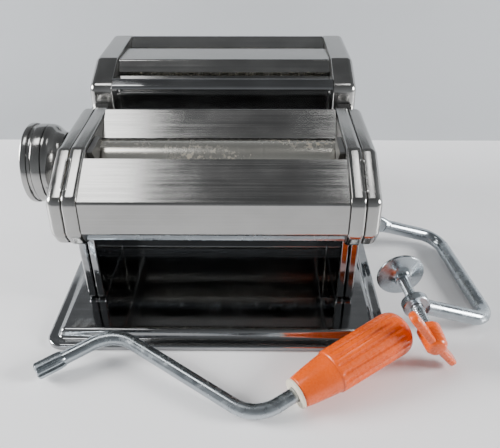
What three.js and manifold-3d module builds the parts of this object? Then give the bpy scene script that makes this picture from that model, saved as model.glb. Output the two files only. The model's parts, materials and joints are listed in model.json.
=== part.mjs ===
// Hand-cranked pasta roller with a lift-off cutter unit, and its crank and clamp lying loose beside it.
// Millimetres, +Z up, +X to the machine's crank side, +Y to its back.
// The origin is the middle of the base's front rim, on the surface that the machine stands on.
import * as THREE from "three";
import { mergeVertices } from "three/addons/utils/BufferGeometryUtils.js";
import Module from "manifold-3d";

const wasm = await Module();
wasm.setup();

// ---- Clearances
const FIT = 0.3; // air between pieces that touch
const RUN = 0.25; // radial air around a turning shaft
const SWEEP = 0.7; // air around a cam in its yoke

// ---- Smooth rollers and their gap
const ROLLER_LENGTH = 150;
const ROLLER_RADIUS = 14;
const GAP_MIN = 0.25;
const GAP_TRAVEL = 3.05;
const KNOB_SWING = THREE.MathUtils.degToRad(162);
const JOURNAL_RADIUS = 6;
const DRIVE_JOURNAL_RADIUS = 7.2;
const SOCKET_RADIUS = 5.6;
const SOCKET_DEPTH = 32;
const ROLLER_END_GAP = 0.4;

// ---- Sheet metal and cheeks
const SHEET = 1;
const PLATE = 2;
const CHEEK_WIDTH = 18.5;
const RIM_WIDTH = 9.3;
const CHEEK_CORNER = 5;
const CAP_BEVEL = 2.4;
const CAP_STEP = 0.6;
const COVER_BEND = 2.5;

// ---- Base, legs and the body above them
const BASE_FRONT = -3;
const BASE_SIDE = 13;
const BASE_TAIL = 20;
const BASE_CORNER = 11;
const BASE_RIM_HEIGHT = 4;
const BASE_TOP = 9;
const BASE_LEDGE = 8.5;
const BASE_HEM = 5;
const LEG_HEIGHT = 54;
const LEG_WIDTH = 11.5;
const LEG_WALL = 1.2;
const LEG_DEPTH = 62;
const LEG_SETBACK = 38;
const NOSE = 11.5;
const NOSE_TO_ROLLER = 13.8;
const ROLLER_TO_BACK = 27.4;
const ROLLER_TO_FLOOR = 15.4;
const ROLLER_TO_ROOF = 8;

// ---- Gears
const GEAR_TEETH = 14;
const GEAR_ADDENDUM = 1.75;
const GEAR_DEDENDUM = 2.1;
const GEAR_WIDTH = 4.6;
const GEAR_X = 4.6;
const CUTTER_TEETH = 12;
const CUTTER_ADDENDUM = 1.3;
const CUTTER_DEDENDUM = 1.5;

// ---- Thickness knob
const KNOB_RADIUS = 25;
const KNOB_LENGTH = 23.5;
const KNOB_WALL = 2;
const KNOB_SHOULDER_RADIUS = 19.5;
const SPINDLE_RADIUS = 5;
const CAM_RADIUS = 7;
const CAM_WIDTH = 5;

// ---- Cutter unit
const CUTTER_STANDOFF = 12;
const CUTTER_LENGTH = 96;
const CUTTER_FLOOR = 80;
const CUTTER_ROOF = 132.8;
const CUTTER_CHEEK = 16;
const CUTTER_PLATE_X = 1.5;
const CUTTER_JOURNAL_RADIUS = 7.2;
const DISC_RADIUS = 11;
const GROOVE_RADIUS = 8.4;
const DISC_MESH = 1.5;
const DISC_PITCH = 12.8;
const NARROW_RADIUS = 10.6;
const NARROW_GAP = 0.6;
const WIDE_NIP = 25;
const NARROW_NIP = 70;
const WIDE_AXIS_Z = 109;
const NARROW_AXIS_Z = 112;

// ---- Rails that carry the cutter unit
const RAIL_WIDTH = 12;
const RAIL_DEPTH = 6.6;
const RAIL_WALL = 1.5;
const RAIL_MOUTH = 4.4;
const RAIL_HEIGHT = 28;
const RAIL_TOP = 108;

// ---- Crank and grip
const ROD_RADIUS = 4.2;
const CRANK_THROW = 93.6;
const CRANK_RAKE = 41.6;
const CRANK_SHAFT = 48.8;
const CRANK_BEND = 15;
const FIN_RADIUS = 5.2;
const FIN_THICKNESS = 1.8;
const FIN_LENGTH = 18;
const GRIP_START = 27.5;
const GRIP_STEP = 50;
const GRIP_END = 96;
const GRIP_DOME = 9;
const GRIP_NECK_RADIUS = 9.1;
const GRIP_STEP_RADIUS = 12.2;
const GRIP_RADIUS = 13.4;
const WASHER_WIDTH = 1.7;
const CRANK_PLACE = new THREE.Vector3(23.6, -56.9, 5.7);
const CRANK_TURN = [8.45, -8.06, 31.8];

// ---- Clamp
const BAR_RADIUS = 4.8;
const CLAMP_BACK = 92.1;
const CLAMP_ARM = 47.7;
const CLAMP_ARM_DROOP = 2.3;
const CLAMP_BEND = 13;
const CLAMP_THROAT = 55.7;
const TONGUE_LENGTH = 14;
const TONGUE_WIDTH = 13;
const TONGUE_THICKNESS = 5;
const EYE_RADIUS = 8.4;
const EYE_THICKNESS = 6;
const SCREW_RADIUS = 3.5;
const PAD_PLACE = 26.7;
const PAD_RADIUS = 15.7;
const PAD_DISH = 3;
const WING_PLACE = 28.6;
const WING_SPAN = 26.5;
const WING_THICKNESS = 4.6;
const WING_TURN = 32;
const CLAMP_FROM_BASE = 67.2;
const CLAMP_Y = 20.3;
const CLAMP_Z = 4.8;
const CLAMP_TURN = [0.85, 20.06, 6.97];

// ---- Places worked out from the sizes above
const HALF_IN = ROLLER_LENGTH / 2;
const HALF_OUT = HALF_IN + CHEEK_WIDTH;
const BASE_HALF = HALF_OUT + BASE_SIDE;
const BODY_FLOOR = BASE_TOP + LEG_HEIGHT;
const AXIS_Z = BODY_FLOOR + ROLLER_TO_FLOOR + ROLLER_RADIUS;
const BODY_ROOF = AXIS_Z + ROLLER_RADIUS + ROLLER_TO_ROOF;
const DRIVE_Y = NOSE + NOSE_TO_ROLLER + ROLLER_RADIUS;
const REAR_Y = DRIVE_Y + 2 * ROLLER_RADIUS + GAP_MIN + GAP_TRAVEL;
const CAM_THROW = GAP_TRAVEL / (1 - Math.cos(KNOB_SWING));
const KNOB_Y = REAR_Y - CAM_THROW;
const BACK = REAR_Y + ROLLER_RADIUS + ROLLER_TO_BACK;
const BASE_BACK = BACK + BASE_TAIL;
const LEG_Y = BASE_FRONT + LEG_SETBACK;
const GEAR_PITCH_RADIUS = ROLLER_RADIUS + GAP_MIN / 2;
const CUTTER_Y = BACK + CUTTER_STANDOFF;
const CUTTER_BACK = CUTTER_Y + CUTTER_LENGTH;
const CUTTER_HALF_IN = HALF_IN + CUTTER_PLATE_X;
const CUTTER_HALF_OUT = CUTTER_HALF_IN + CUTTER_CHEEK;
const WIDE_SPACING = 2 * DISC_RADIUS - DISC_MESH;
const NARROW_SPACING = 2 * NARROW_RADIUS + NARROW_GAP;
const RAIL_X = HALF_IN + CHEEK_WIDTH / 2;

// ---- Materials
function finish(color, roughness, metalness) {
  return new THREE.MeshStandardMaterial({ color, roughness, metalness });
}
const brushedSteel = finish(0xb9bab8, 0.32, 1);
const mirrorSteel = finish(0x9fa2a3, 0.08, 1);
const nickelPlate = finish(0xa9acac, 0.25, 1);
const darkSteel = finish(0x5d6063, 0.45, 1);
const zincPlate = finish(0xb4bcc0, 0.3, 1);
const polishedRoller = finish(0xc4c2b8, 0.2, 1);
const bronze = finish(0xa88a54, 0.4, 1);
const orangePlastic = finish(0xff6a10, 0.25, 0);
const creamPlastic = finish(0xe9e4d6, 0.5, 0);

// ---- Solids from three.js geometries
function solid(geometry) {
  const bare = new THREE.BufferGeometry();
  const source = geometry.index ? geometry.toNonIndexed() : geometry;
  bare.setAttribute("position", source.getAttribute("position"));
  const merged = mergeVertices(bare, 1e-4);
  const corners = [];
  for (let i = 0; i < merged.index.count; i += 3) {
    const [a, b, c] = [0, 1, 2].map((k) => merged.index.getX(i + k));
    if (a !== b && b !== c && a !== c) corners.push(a, b, c);
  }
  const build = () =>
    new wasm.Manifold(
      new wasm.Mesh({
        numProp: 3,
        vertProperties: merged.attributes.position.array,
        triVerts: new Uint32Array(corners),
      }),
    );
  const made = build();
  if (made.volume() > 0) return made;
  corners.reverse();
  return build();
}

function join(...solids) {
  return solids.reduce((whole, next) => whole.add(next));
}

function cut(whole, ...tools) {
  return tools.reduce((left, tool) => left.subtract(tool), whole);
}

function geometryOf(made) {
  const { numProp, vertProperties, triVerts } = made.getMesh();
  const flat = new Float32Array(triVerts.length * 3);
  triVerts.forEach((corner, i) => {
    flat.set(vertProperties.subarray(corner * numProp, corner * numProp + 3), i * 3);
  });
  const geometry = new THREE.BufferGeometry();
  geometry.setAttribute("position", new THREE.BufferAttribute(flat, 3));
  geometry.computeVertexNormals();
  return geometry;
}

function add(group, name, made, material) {
  const mesh = new THREE.Mesh(geometryOf(made), material);
  mesh.name = name;
  group.add(mesh);
}

function block(x0, x1, y0, y1, z0, z1) {
  const box = new THREE.BoxGeometry(x1 - x0, y1 - y0, z1 - z0);
  return solid(box.translate((x0 + x1) / 2, (y0 + y1) / 2, (z0 + z1) / 2));
}

// A polygon with rounded corners; cutback is how much of each side a corner takes.
function rounded(points, cutback) {
  const shape = new THREE.Shape();
  points.forEach((corner, i) => {
    const here = new THREE.Vector2(...corner);
    const before = new THREE.Vector2(...points.at(i - 1));
    const after = new THREE.Vector2(...points[(i + 1) % points.length]);
    const [start, end] = [before, after].map((other) => {
      const share = Math.min(cutback / here.distanceTo(other), 0.48);
      return here.clone().lerp(other, share);
    });
    if (i === 0) shape.moveTo(start.x, start.y);
    else shape.lineTo(start.x, start.y);
    shape.quadraticCurveTo(here.x, here.y, end.x, end.y);
  });
  shape.closePath();
  return shape;
}

// The left-hand offset of each corner of a line, for a sheet's other face or a smaller outline.
function offset(points, distance, closed) {
  return points.map((corner, i) => {
    const here = new THREE.Vector2(...corner);
    const before = closed || i > 0 ? points.at(i - 1) : null;
    const after = closed ? points[(i + 1) % points.length] : points[i + 1];
    const sides = [before && [before, corner], after && [corner, after]].filter(Boolean);
    const normals = sides.map(([from, to]) => {
      const along = new THREE.Vector2(to[0] - from[0], to[1] - from[1]).normalize();
      return new THREE.Vector2(-along.y, along.x);
    });
    const sum = normals.reduce((a, b) => a.clone().add(b));
    const mitre = normals.length > 1 ? 1 + normals[0].dot(normals[1]) : 1;
    const moved = here.add(sum.multiplyScalar(distance / mitre));
    return [moved.x, moved.y];
  });
}

function extrude(shape, depth, bevel = 0, segments = 3) {
  return new THREE.ExtrudeGeometry(shape, {
    depth: depth - 2 * bevel,
    curveSegments: segments,
    bevelEnabled: bevel > 0,
    bevelSize: bevel,
    bevelThickness: bevel,
    bevelSegments: 2,
  }).translate(0, 0, bevel);
}

// A shape drawn in (y, z), extruded from x0 to x1.
const SIDE_VIEW = new THREE.Matrix4().makeBasis(
  new THREE.Vector3(0, 1, 0),
  new THREE.Vector3(0, 0, 1),
  new THREE.Vector3(1, 0, 0),
);
function alongX(shape, x0, x1, bevel = 0) {
  const geometry = extrude(shape, x1 - x0, bevel).applyMatrix4(SIDE_VIEW);
  return solid(geometry.translate(x0, 0, 0));
}

// Sheet metal bent along a line drawn in (y, z); the thickness goes to the line's left.
function sheet(points, x0, x1, thickness = SHEET, bend = COVER_BEND) {
  const line = new THREE.Path();
  points.forEach((corner, i) => {
    const here = new THREE.Vector2(...corner);
    if (i === 0) line.moveTo(here.x, here.y);
    else if (i === points.length - 1) line.lineTo(here.x, here.y);
    else {
      const [start, end] = [points[i - 1], points[i + 1]].map((other) => {
        const there = new THREE.Vector2(...other);
        return here.clone().lerp(there, Math.min(bend / here.distanceTo(there), 0.45));
      });
      line.lineTo(start.x, start.y);
      line.quadraticCurveTo(here.x, here.y, end.x, end.y);
    }
  });
  const near = line.getPoints(3).map((p) => [p.x, p.y]);
  const far = offset(near, thickness, false).reverse();
  const outline = [...near, ...far].map(([y, z]) => new THREE.Vector2(y, z));
  return alongX(new THREE.Shape(outline), x0, x1);
}

// A turned piece: profile points are [distance along the axis, radius].
function turned(profile, segments = 20) {
  const points = profile.map(([along, radius]) => new THREE.Vector2(radius, along));
  return new THREE.LatheGeometry(points, segments);
}

function turnedX(profile, y, z, segments = 20) {
  const geometry = turned(profile, segments).rotateZ(-Math.PI / 2);
  return solid(geometry.translate(0, y, z));
}

function cylinderX(x0, x1, y, z, radius, segments = 20) {
  return turnedX([[x0, 0], [x0, radius], [x1, radius], [x1, 0]], y, z, segments);
}

function ringX(x0, x1, y, z, inner, outer, segments = 20) {
  const loop = [[x0, inner], [x0, outer], [x1, outer], [x1, inner], [x0, inner]];
  return turnedX(loop, y, z, segments);
}

function mirrored(made) {
  const { numProp, vertProperties, triVerts } = made.getMesh();
  const geometry = new THREE.BufferGeometry();
  const flat = new Float32Array(triVerts.length * 3);
  triVerts.forEach((corner, i) => {
    flat[3 * i] = -vertProperties[corner * numProp];
    flat[3 * i + 1] = vertProperties[corner * numProp + 1];
    flat[3 * i + 2] = vertProperties[corner * numProp + 2];
  });
  geometry.setAttribute("position", new THREE.BufferAttribute(flat, 3));
  return solid(geometry);
}

// ---- Outlines drawn in (y, z), anticlockwise
function bodyOutline() {
  return [
    [NOSE + 14, BODY_FLOOR],
    [BACK - 9, BODY_FLOOR],
    [BACK, BODY_FLOOR + 8],
    [BACK, BODY_ROOF],
    [DRIVE_Y + 5.7, BODY_ROOF],
    [NOSE + 1, AXIS_Z + 5.1],
    [NOSE - 0.5, AXIS_Z - 17.4],
    [NOSE + 5.5, BODY_FLOOR + 2.5],
  ];
}

function cutterOutline() {
  return [
    [CUTTER_Y + 10, CUTTER_FLOOR],
    [CUTTER_BACK - 12, CUTTER_FLOOR],
    [CUTTER_BACK, CUTTER_FLOOR + 16],
    [CUTTER_BACK, CUTTER_ROOF - 6],
    [CUTTER_BACK - 6, CUTTER_ROOF],
    [CUTTER_Y + 30, CUTTER_ROOF],
    [CUTTER_Y + 1.5, CUTTER_ROOF - 11],
    [CUTTER_Y, CUTTER_FLOOR + 12],
  ];
}

function shrunk(points, distance) {
  return rounded(offset(points, distance, true), CHEEK_CORNER - distance / 2);
}

// ---- Base, legs and back wall
function baseSlab(inset, top, bevel) {
  const x = BASE_HALF - inset - bevel;
  const front = BASE_FRONT + inset + bevel;
  const back = BASE_BACK - inset - bevel;
  const corners = [[-x, front], [x, front], [x, back], [-x, back]];
  const shape = rounded(corners, Math.max(BASE_CORNER - inset, 3));
  const below = top + 2 * bevel;
  return solid(extrude(shape, top + below, bevel, 4).translate(0, 0, -below));
}

function baseTray() {
  const under = block(-BASE_HALF - 1, BASE_HALF + 1, BASE_FRONT - 1, BASE_BACK + 1, -40, 0);
  const outside = join(baseSlab(0, BASE_RIM_HEIGHT, 1.2), baseSlab(BASE_LEDGE, BASE_TOP, 2));
  const hemTop = block(-BASE_HALF, BASE_HALF, BASE_FRONT, BASE_BACK, -40, SHEET);
  const rimVoid = cut(baseSlab(SHEET, BASE_RIM_HEIGHT - SHEET, 0.6), hemTop);
  const mouth = baseSlab(BASE_HEM, SHEET + 0.5, 0);
  const topVoid = baseSlab(BASE_LEDGE + SHEET, BASE_TOP - SHEET, 1.2);
  return cut(outside, under, rimVoid, mouth, topVoid);
}

function leg() {
  const [x0, x1] = [HALF_IN + 1, HALF_IN + 1 + LEG_WIDTH];
  const [y0, y1] = [LEG_Y, LEG_Y + LEG_DEPTH];
  const tube = rounded([[x0, y0], [x1, y0], [x1, y1], [x0, y1]], 3);
  const hollow = [[x0, y0], [x1, y0], [x1, y1], [x0, y1]];
  tube.holes.push(rounded(offset(hollow, LEG_WALL, true), 2));
  const height = LEG_HEIGHT - 2 * FIT;
  return solid(extrude(tube, height).translate(0, 0, BASE_TOP + FIT));
}

function backWall() {
  const y = LEG_Y + LEG_DEPTH - 4;
  const low = BASE_TOP + FIT;
  const path = [[y - 9, low], [y, low], [y, BODY_FLOOR - FIT]];
  const half = HALF_IN + 1 - FIT;
  return sheet(path, -half, half);
}

function clampSocket() {
  const front = LEG_Y + LEG_DEPTH - 4 + FIT;
  const back = BASE_BACK - BASE_LEDGE - 3;
  const low = BASE_TOP + FIT;
  const half = TONGUE_WIDTH / 2 + 1;
  const slotTop = low + 1.5 + TONGUE_THICKNESS + 1.2;
  const outside = block(-half - 2.5, half + 2.5, front, back, low, slotTop + 2.5);
  return cut(outside, block(-half, half, front + 2, back + 1, low + 1.5, slotTop));
}

// ---- Body structure
function blockWindow(side) {
  const half = 10 + FIT;
  const [y0, y1] = [REAR_Y - half - GAP_TRAVEL, REAR_Y + half];
  const [x0, x1] = side < 0 ? [-HALF_IN - 9, -HALF_IN + 1] : [HALF_IN - 1, HALF_IN + 9];
  return block(x0, x1, y0, y1, AXIS_Z - half, AXIS_Z + half);
}

const TIE_ROD_RADIUS = 3;
const TIE_RODS = {
  tie_rod_front: [NOSE + 9.5, BODY_FLOOR + 7],
  tie_rod_rear: [BACK - 12, BODY_FLOOR + 10],
};

function sidePlate(side) {
  const [x0, x1] = side < 0 ? [-HALF_IN - PLATE, -HALF_IN] : [HALF_IN, HALF_IN + PLATE];
  const outline = shrunk(bodyOutline(), SHEET + FIT);
  const holes = Object.values(TIE_RODS).map(([y, z]) =>
    cylinderX(x0 - 1, x1 + 1, y, z, TIE_ROD_RADIUS + FIT, 12),
  );
  const bushHole = cylinderX(x0 - 1, x1 + 1, DRIVE_Y, AXIS_Z, DRIVE_JOURNAL_RADIUS + 2.5 + FIT);
  return cut(alongX(outline, x0, x1), bushHole, blockWindow(side), ...holes);
}

function cheekRim() {
  const outside = alongX(shrunk(bodyOutline(), 0), HALF_IN, HALF_IN + RIM_WIDTH);
  const inside = alongX(shrunk(bodyOutline(), SHEET), HALF_IN - 1, HALF_IN + RIM_WIDTH + 1);
  return cut(outside, inside);
}

function cheekCap(hole) {
  const [x0, x1] = [HALF_IN + RIM_WIDTH + FIT, HALF_OUT];
  const outer = shrunk(bodyOutline(), CAP_STEP + CAP_BEVEL);
  const inner = shrunk(bodyOutline(), CAP_STEP + CAP_BEVEL + SHEET);
  const full = alongX(outer, x0 - 2 * CAP_BEVEL, x1, CAP_BEVEL);
  const hollow = alongX(inner, x0 - 3 * CAP_BEVEL, x1 - SHEET, CAP_BEVEL);
  const behind = block(x0 - 30, x0, NOSE - 5, BACK + 5, BODY_FLOOR - 5, BODY_ROOF + 5);
  return cut(full, hollow, behind, cylinderX(x0, x1 + 1, hole.y, AXIS_Z, hole.radius));
}

function tieRod(y, z) {
  const plateOut = HALF_IN + PLATE + FIT;
  const head = plateOut + 2.5;
  const profile = [
    [-head, 0], [-head, 4], [-plateOut, 4], [-plateOut, TIE_ROD_RADIUS],
    [plateOut, TIE_ROD_RADIUS], [plateOut, 4], [head, 4], [head, 0],
  ];
  return turnedX(profile, y, z, 12);
}

// A point on a circle about a roller's axis, at an angle in degrees from +Y towards +Z.
function around(y, radius, degrees) {
  const angle = THREE.MathUtils.degToRad(degrees);
  return [y + radius * Math.cos(angle), AXIS_Z + radius * Math.sin(angle)];
}

const COVER_HALF = HALF_IN - FIT;

function frontCover() {
  const path = [
    [NOSE + 5, AXIS_Z - 16.5],
    [NOSE - 1, AXIS_Z - 16.1],
    [NOSE + 0.3, AXIS_Z + 4.5],
    [DRIVE_Y - 2.5, BODY_ROOF - 3],
  ].reverse();
  return sheet(path, -COVER_HALF, COVER_HALF);
}

function hopperPlate() {
  const lip = around(REAR_Y, ROLLER_RADIUS + 1.2, 54);
  const ridge = [lip[0] + 18.5, BODY_ROOF + 3.6];
  const path = [lip, ridge, [ridge[0] + 3.5, BODY_ROOF - 1.5]].reverse();
  return sheet(path, -COVER_HALF, COVER_HALF);
}

function rearCover() {
  const [y, z] = [BACK - FIT, BODY_ROOF - 2 - FIT];
  const path = [[y - 9.5, z], [y, z], [y, BODY_FLOOR + 6], [y - 8, BODY_FLOOR + 1]];
  return sheet(path.reverse(), -COVER_HALF, COVER_HALF);
}

function scraper(y, degrees) {
  const tip = around(y, ROLLER_RADIUS + 0.6, degrees);
  const away = Math.sign(Math.cos(THREE.MathUtils.degToRad(degrees)));
  const path = [[tip[0] + 5.5 * away, tip[1] - 9.5], tip];
  return sheet(away < 0 ? path : path.reverse(), -COVER_HALF, COVER_HALF, 0.8);
}

function driveBush(side) {
  const x = HALF_IN + PLATE + FIT;
  const radius = DRIVE_JOURNAL_RADIUS + 2.5;
  const loop = [
    [HALF_IN + 0.1, DRIVE_JOURNAL_RADIUS + RUN],
    [HALF_IN + 0.1, radius],
    [x, radius],
    [x, radius + 2],
    [x + 2, radius + 2],
    [x + 2, DRIVE_JOURNAL_RADIUS + RUN],
    [HALF_IN + 0.1, DRIVE_JOURNAL_RADIUS + RUN],
  ];
  const made = turnedX(loop, DRIVE_Y, AXIS_Z);
  return side < 0 ? mirrored(made) : made;
}

function endGuide(side) {
  const width = 3.2;
  const nip = (DRIVE_Y + REAR_Y) / 2;
  const face = [
    around(nip, 3, 90),
    around(nip, 23, 60),
    around(nip, 23, 120),
  ];
  const wedge = alongX(rounded(face, 1.5), HALF_IN - FIT - width, HALF_IN - FIT);
  const clear = [DRIVE_Y, REAR_Y, REAR_Y - GAP_TRAVEL].map((y) =>
    cylinderX(0, HALF_IN + 1, y, AXIS_Z, ROLLER_RADIUS + 0.5, 36),
  );
  const made = cut(wedge, ...clear);
  return side < 0 ? mirrored(made) : made;
}

// A cutter rail: a channel whose mouth holds the tongue's neck.
function rail() {
  const [x0, x1] = [RAIL_X - RAIL_WIDTH / 2, RAIL_X + RAIL_WIDTH / 2];
  const [y0, y1] = [BACK + FIT, BACK + FIT + RAIL_DEPTH];
  const [z0, z1] = [RAIL_TOP - RAIL_HEIGHT, RAIL_TOP];
  const inside = block(x0 + RAIL_WALL, x1 - RAIL_WALL, y0 + RAIL_WALL, y1 - RAIL_WALL, z0 - 1, z1 + 1);
  const half = RAIL_MOUTH / 2;
  const mouth = block(RAIL_X - half, RAIL_X + half, y1 - RAIL_WALL - 1, y1 + 1, z0 - 1, z1 + 1);
  return cut(block(x0, x1, y0, y1, z0, z1), inside, mouth);
}

function tongue() {
  const y0 = BACK + FIT + RAIL_WALL + 0.5;
  const y1 = BACK + FIT + RAIL_DEPTH - RAIL_WALL - 0.5;
  const [z0, z1] = [RAIL_TOP - RAIL_HEIGHT + 4, RAIL_TOP + FIT];
  const wide = RAIL_WIDTH / 2 - RAIL_WALL - 0.5;
  const neck = RAIL_MOUTH / 2 - 0.5;
  const end = CUTTER_Y - FIT;
  return join(
    block(RAIL_X - wide, RAIL_X + wide, y0, y1, z0, z1),
    block(RAIL_X - neck, RAIL_X + neck, y0, end, z0, z1),
    block(RAIL_X - 5, RAIL_X + 5, y0, end, z1, z1 + 2),
    block(RAIL_X - 5, RAIL_X + 5, end - 2, end, z0, z1 + 2),
  );
}

// ---- Rollers and gears
function gear(x0, x1, y, z, { teeth, pitchRadius, addendum, dedendum, bore, phase }) {
  const step = (2 * Math.PI) / teeth;
  const shape = new THREE.Shape();
  for (let i = 0; i < teeth; i++) {
    const centre = (i + phase) * step;
    const corners = [
      [-0.27, pitchRadius - dedendum],
      [-0.1, pitchRadius + addendum],
      [0.1, pitchRadius + addendum],
      [0.27, pitchRadius - dedendum],
    ];
    corners.forEach(([share, radius], k) => {
      const angle = centre + share * step;
      const at = [radius * Math.cos(angle), radius * Math.sin(angle)];
      if (i === 0 && k === 0) shape.moveTo(...at);
      else shape.lineTo(...at);
    });
  }
  shape.closePath();
  const wheel = solid(extrude(shape, x1 - x0).applyMatrix4(SIDE_VIEW).translate(x0, y, z));
  return cut(wheel, cylinderX(x0 - 1, x1 + 1, y, z, bore));
}

function driveRoller() {
  const end = HALF_IN - ROLLER_END_GAP;
  const left = -HALF_IN - PLATE - 3;
  const right = HALF_OUT - 0.8;
  const profile = [
    [left, 0], [left, DRIVE_JOURNAL_RADIUS], [-end, DRIVE_JOURNAL_RADIUS],
    [-end, ROLLER_RADIUS], [end, ROLLER_RADIUS], [end, DRIVE_JOURNAL_RADIUS],
    [right, DRIVE_JOURNAL_RADIUS], [right, SOCKET_RADIUS],
    [right - SOCKET_DEPTH, SOCKET_RADIUS], [right - SOCKET_DEPTH, 0],
  ];
  return turnedX(profile, DRIVE_Y, AXIS_Z, 28);
}

function adjustRoller() {
  const end = HALF_IN - ROLLER_END_GAP;
  const [left, right] = [-HALF_IN - 4, HALF_IN + GEAR_X + GEAR_WIDTH + 0.5];
  const profile = [
    [left, 0], [left, JOURNAL_RADIUS], [-end, JOURNAL_RADIUS], [-end, ROLLER_RADIUS],
    [end, ROLLER_RADIUS], [end, JOURNAL_RADIUS], [right, JOURNAL_RADIUS], [right, 0],
  ];
  return turnedX(profile, REAR_Y, AXIS_Z, 28);
}

function rollerGear(y, bore, phase) {
  return gear(HALF_IN + GEAR_X, HALF_IN + GEAR_X + GEAR_WIDTH, y, AXIS_Z, {
    teeth: GEAR_TEETH,
    pitchRadius: GEAR_PITCH_RADIUS,
    addendum: GEAR_ADDENDUM,
    dedendum: GEAR_DEDENDUM,
    bore: bore + FIT,
    phase,
  });
}

// A bearing block fills the side plate's window; its flange keeps it there.
function bearingBlock(side) {
  const [x0, x1] = [HALF_IN + 0.2, HALF_IN + PLATE + FIT];
  const core = block(x0, x1 + 2, REAR_Y - 10, REAR_Y + 10, AXIS_Z - 10, AXIS_Z + 10);
  const flange = block(x1, x1 + 2, REAR_Y - 11.5, REAR_Y + 11.5, AXIS_Z - 12, AXIS_Z + 12);
  const bore = cylinderX(x0 - 1, x1 + 9, REAR_Y, AXIS_Z, JOURNAL_RADIUS + RUN);
  if (side > 0) return cut(join(core, flange), bore);
  const yokeEnd = x1 + 2 + CAM_WIDTH + 2;
  const yoke = block(x1 + 1, yokeEnd, REAR_Y - 10, REAR_Y + 10, AXIS_Z - 12, AXIS_Z + 12);
  const half = CAM_RADIUS + SWEEP;
  const tall = half + CAM_THROW;
  const window = block(x1 + 2, yokeEnd + 1, REAR_Y - half, REAR_Y + half, AXIS_Z - tall, AXIS_Z + tall);
  return mirrored(cut(join(core, flange, cut(yoke, window)), bore));
}

// ---- Thickness knob
function knobSpindle() {
  const camStart = HALF_IN + PLATE + FIT + 3;
  const cam = cylinderX(camStart, camStart + CAM_WIDTH, REAR_Y, AXIS_Z, CAM_RADIUS);
  const shaftEnd = HALF_OUT + KNOB_LENGTH - KNOB_WALL - 4;
  const shaft = cylinderX(camStart + 1, shaftEnd, KNOB_Y, AXIS_Z, SPINDLE_RADIUS);
  return mirrored(join(cam, shaft));
}

function knobBush() {
  const inner = SPINDLE_RADIUS + RUN;
  const outer = SPINDLE_RADIUS + 3;
  const x = HALF_OUT - SHEET - FIT;
  const loop = [
    [x - 1.5, inner], [x - 1.5, outer + 2], [x, outer + 2], [x, outer],
    [HALF_OUT + 0.2, outer], [HALF_OUT + 0.2, inner], [x - 1.5, inner],
  ];
  return mirrored(turnedX(loop, KNOB_Y, AXIS_Z));
}

function knobBody() {
  const face = HALF_OUT + KNOB_LENGTH;
  const start = HALF_OUT + 11.5 + FIT;
  const hub = SPINDLE_RADIUS + 3;
  const bore = SPINDLE_RADIUS + RUN;
  const profile = [
    [face, 0], [face, KNOB_RADIUS - 1], [face - 1, KNOB_RADIUS], [face - 4, KNOB_RADIUS],
    [face - 4.5, KNOB_RADIUS - 1.4], [face - 6, KNOB_RADIUS - 1.4], [face - 6.5, KNOB_RADIUS - 0.5],
    [start, KNOB_RADIUS - 0.5], [start, KNOB_RADIUS - 3],
    [face - KNOB_WALL, KNOB_RADIUS - 3], [face - KNOB_WALL, hub],
    [HALF_OUT + 1.5, hub], [HALF_OUT + 1.5, bore],
    [face - KNOB_WALL - 2, bore], [face - KNOB_WALL - 2, 0],
  ];
  return mirrored(turnedX(profile, KNOB_Y, AXIS_Z, 36));
}

function knobDial() {
  const [x0, x1] = [HALF_OUT + 0.7, HALF_OUT + 11.5];
  const loop = [
    [x0, KNOB_SHOULDER_RADIUS - 2], [x0, KNOB_SHOULDER_RADIUS],
    [x0 + 3, KNOB_SHOULDER_RADIUS + 0.6], [x1 - 3.5, KNOB_RADIUS - 0.9],
    [x1, KNOB_RADIUS - 0.6], [x1, KNOB_RADIUS - 3], [x1 - 4, KNOB_RADIUS - 3.2],
    [x0, KNOB_SHOULDER_RADIUS - 2],
  ];
  return mirrored(turnedX(loop, KNOB_Y, AXIS_Z, 36));
}

// ---- Cutter unit
const CUTTER_SHAFTS = [
  { name: "wide_front", y: CUTTER_Y + WIDE_NIP - WIDE_SPACING / 2, z: WIDE_AXIS_Z, socket: true },
  { name: "wide_rear", y: CUTTER_Y + WIDE_NIP + WIDE_SPACING / 2, z: WIDE_AXIS_Z, socket: false },
  { name: "narrow_front", y: CUTTER_Y + NARROW_NIP - NARROW_SPACING / 2, z: NARROW_AXIS_Z, socket: true },
  { name: "narrow_rear", y: CUTTER_Y + NARROW_NIP + NARROW_SPACING / 2, z: NARROW_AXIS_Z, socket: false },
];

function cutterSidePlate(side) {
  const [x0, x1] = [CUTTER_HALF_IN, CUTTER_HALF_IN + PLATE];
  const made = alongX(shrunk(cutterOutline(), SHEET + FIT), x0, x1);
  const holes = CUTTER_SHAFTS.map(({ y, z, socket }) => {
    const journal = socket && side > 0 ? CUTTER_JOURNAL_RADIUS : JOURNAL_RADIUS;
    return cylinderX(x0 - 1, x1 + 1, y, z, journal + RUN);
  });
  const plate = cut(made, ...holes);
  return side < 0 ? mirrored(plate) : plate;
}

function cutterCheek(side) {
  const [x0, x1] = [CUTTER_HALF_IN, CUTTER_HALF_OUT];
  const outer = shrunk(cutterOutline(), CAP_BEVEL);
  const inner = shrunk(cutterOutline(), CAP_BEVEL + SHEET);
  const full = alongX(outer, x0 - 2 * CAP_BEVEL, x1, CAP_BEVEL);
  const hollow = alongX(inner, x0 - 3 * CAP_BEVEL, x1 - SHEET, CAP_BEVEL);
  const behind = block(x0 - 30, x0, CUTTER_Y - 5, CUTTER_BACK + 5, 0, CUTTER_ROOF + 5);
  const sockets = CUTTER_SHAFTS.filter(({ socket }) => socket && side > 0);
  const holes = sockets.map(({ y, z }) =>
    cylinderX(x1 - 3, x1 + 1, y, z, CUTTER_JOURNAL_RADIUS + 0.5),
  );
  const shell = cut(full, hollow, behind, ...holes);
  return side < 0 ? mirrored(shell) : shell;
}

const CUTTER_HALF = CUTTER_HALF_IN - FIT;

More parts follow.
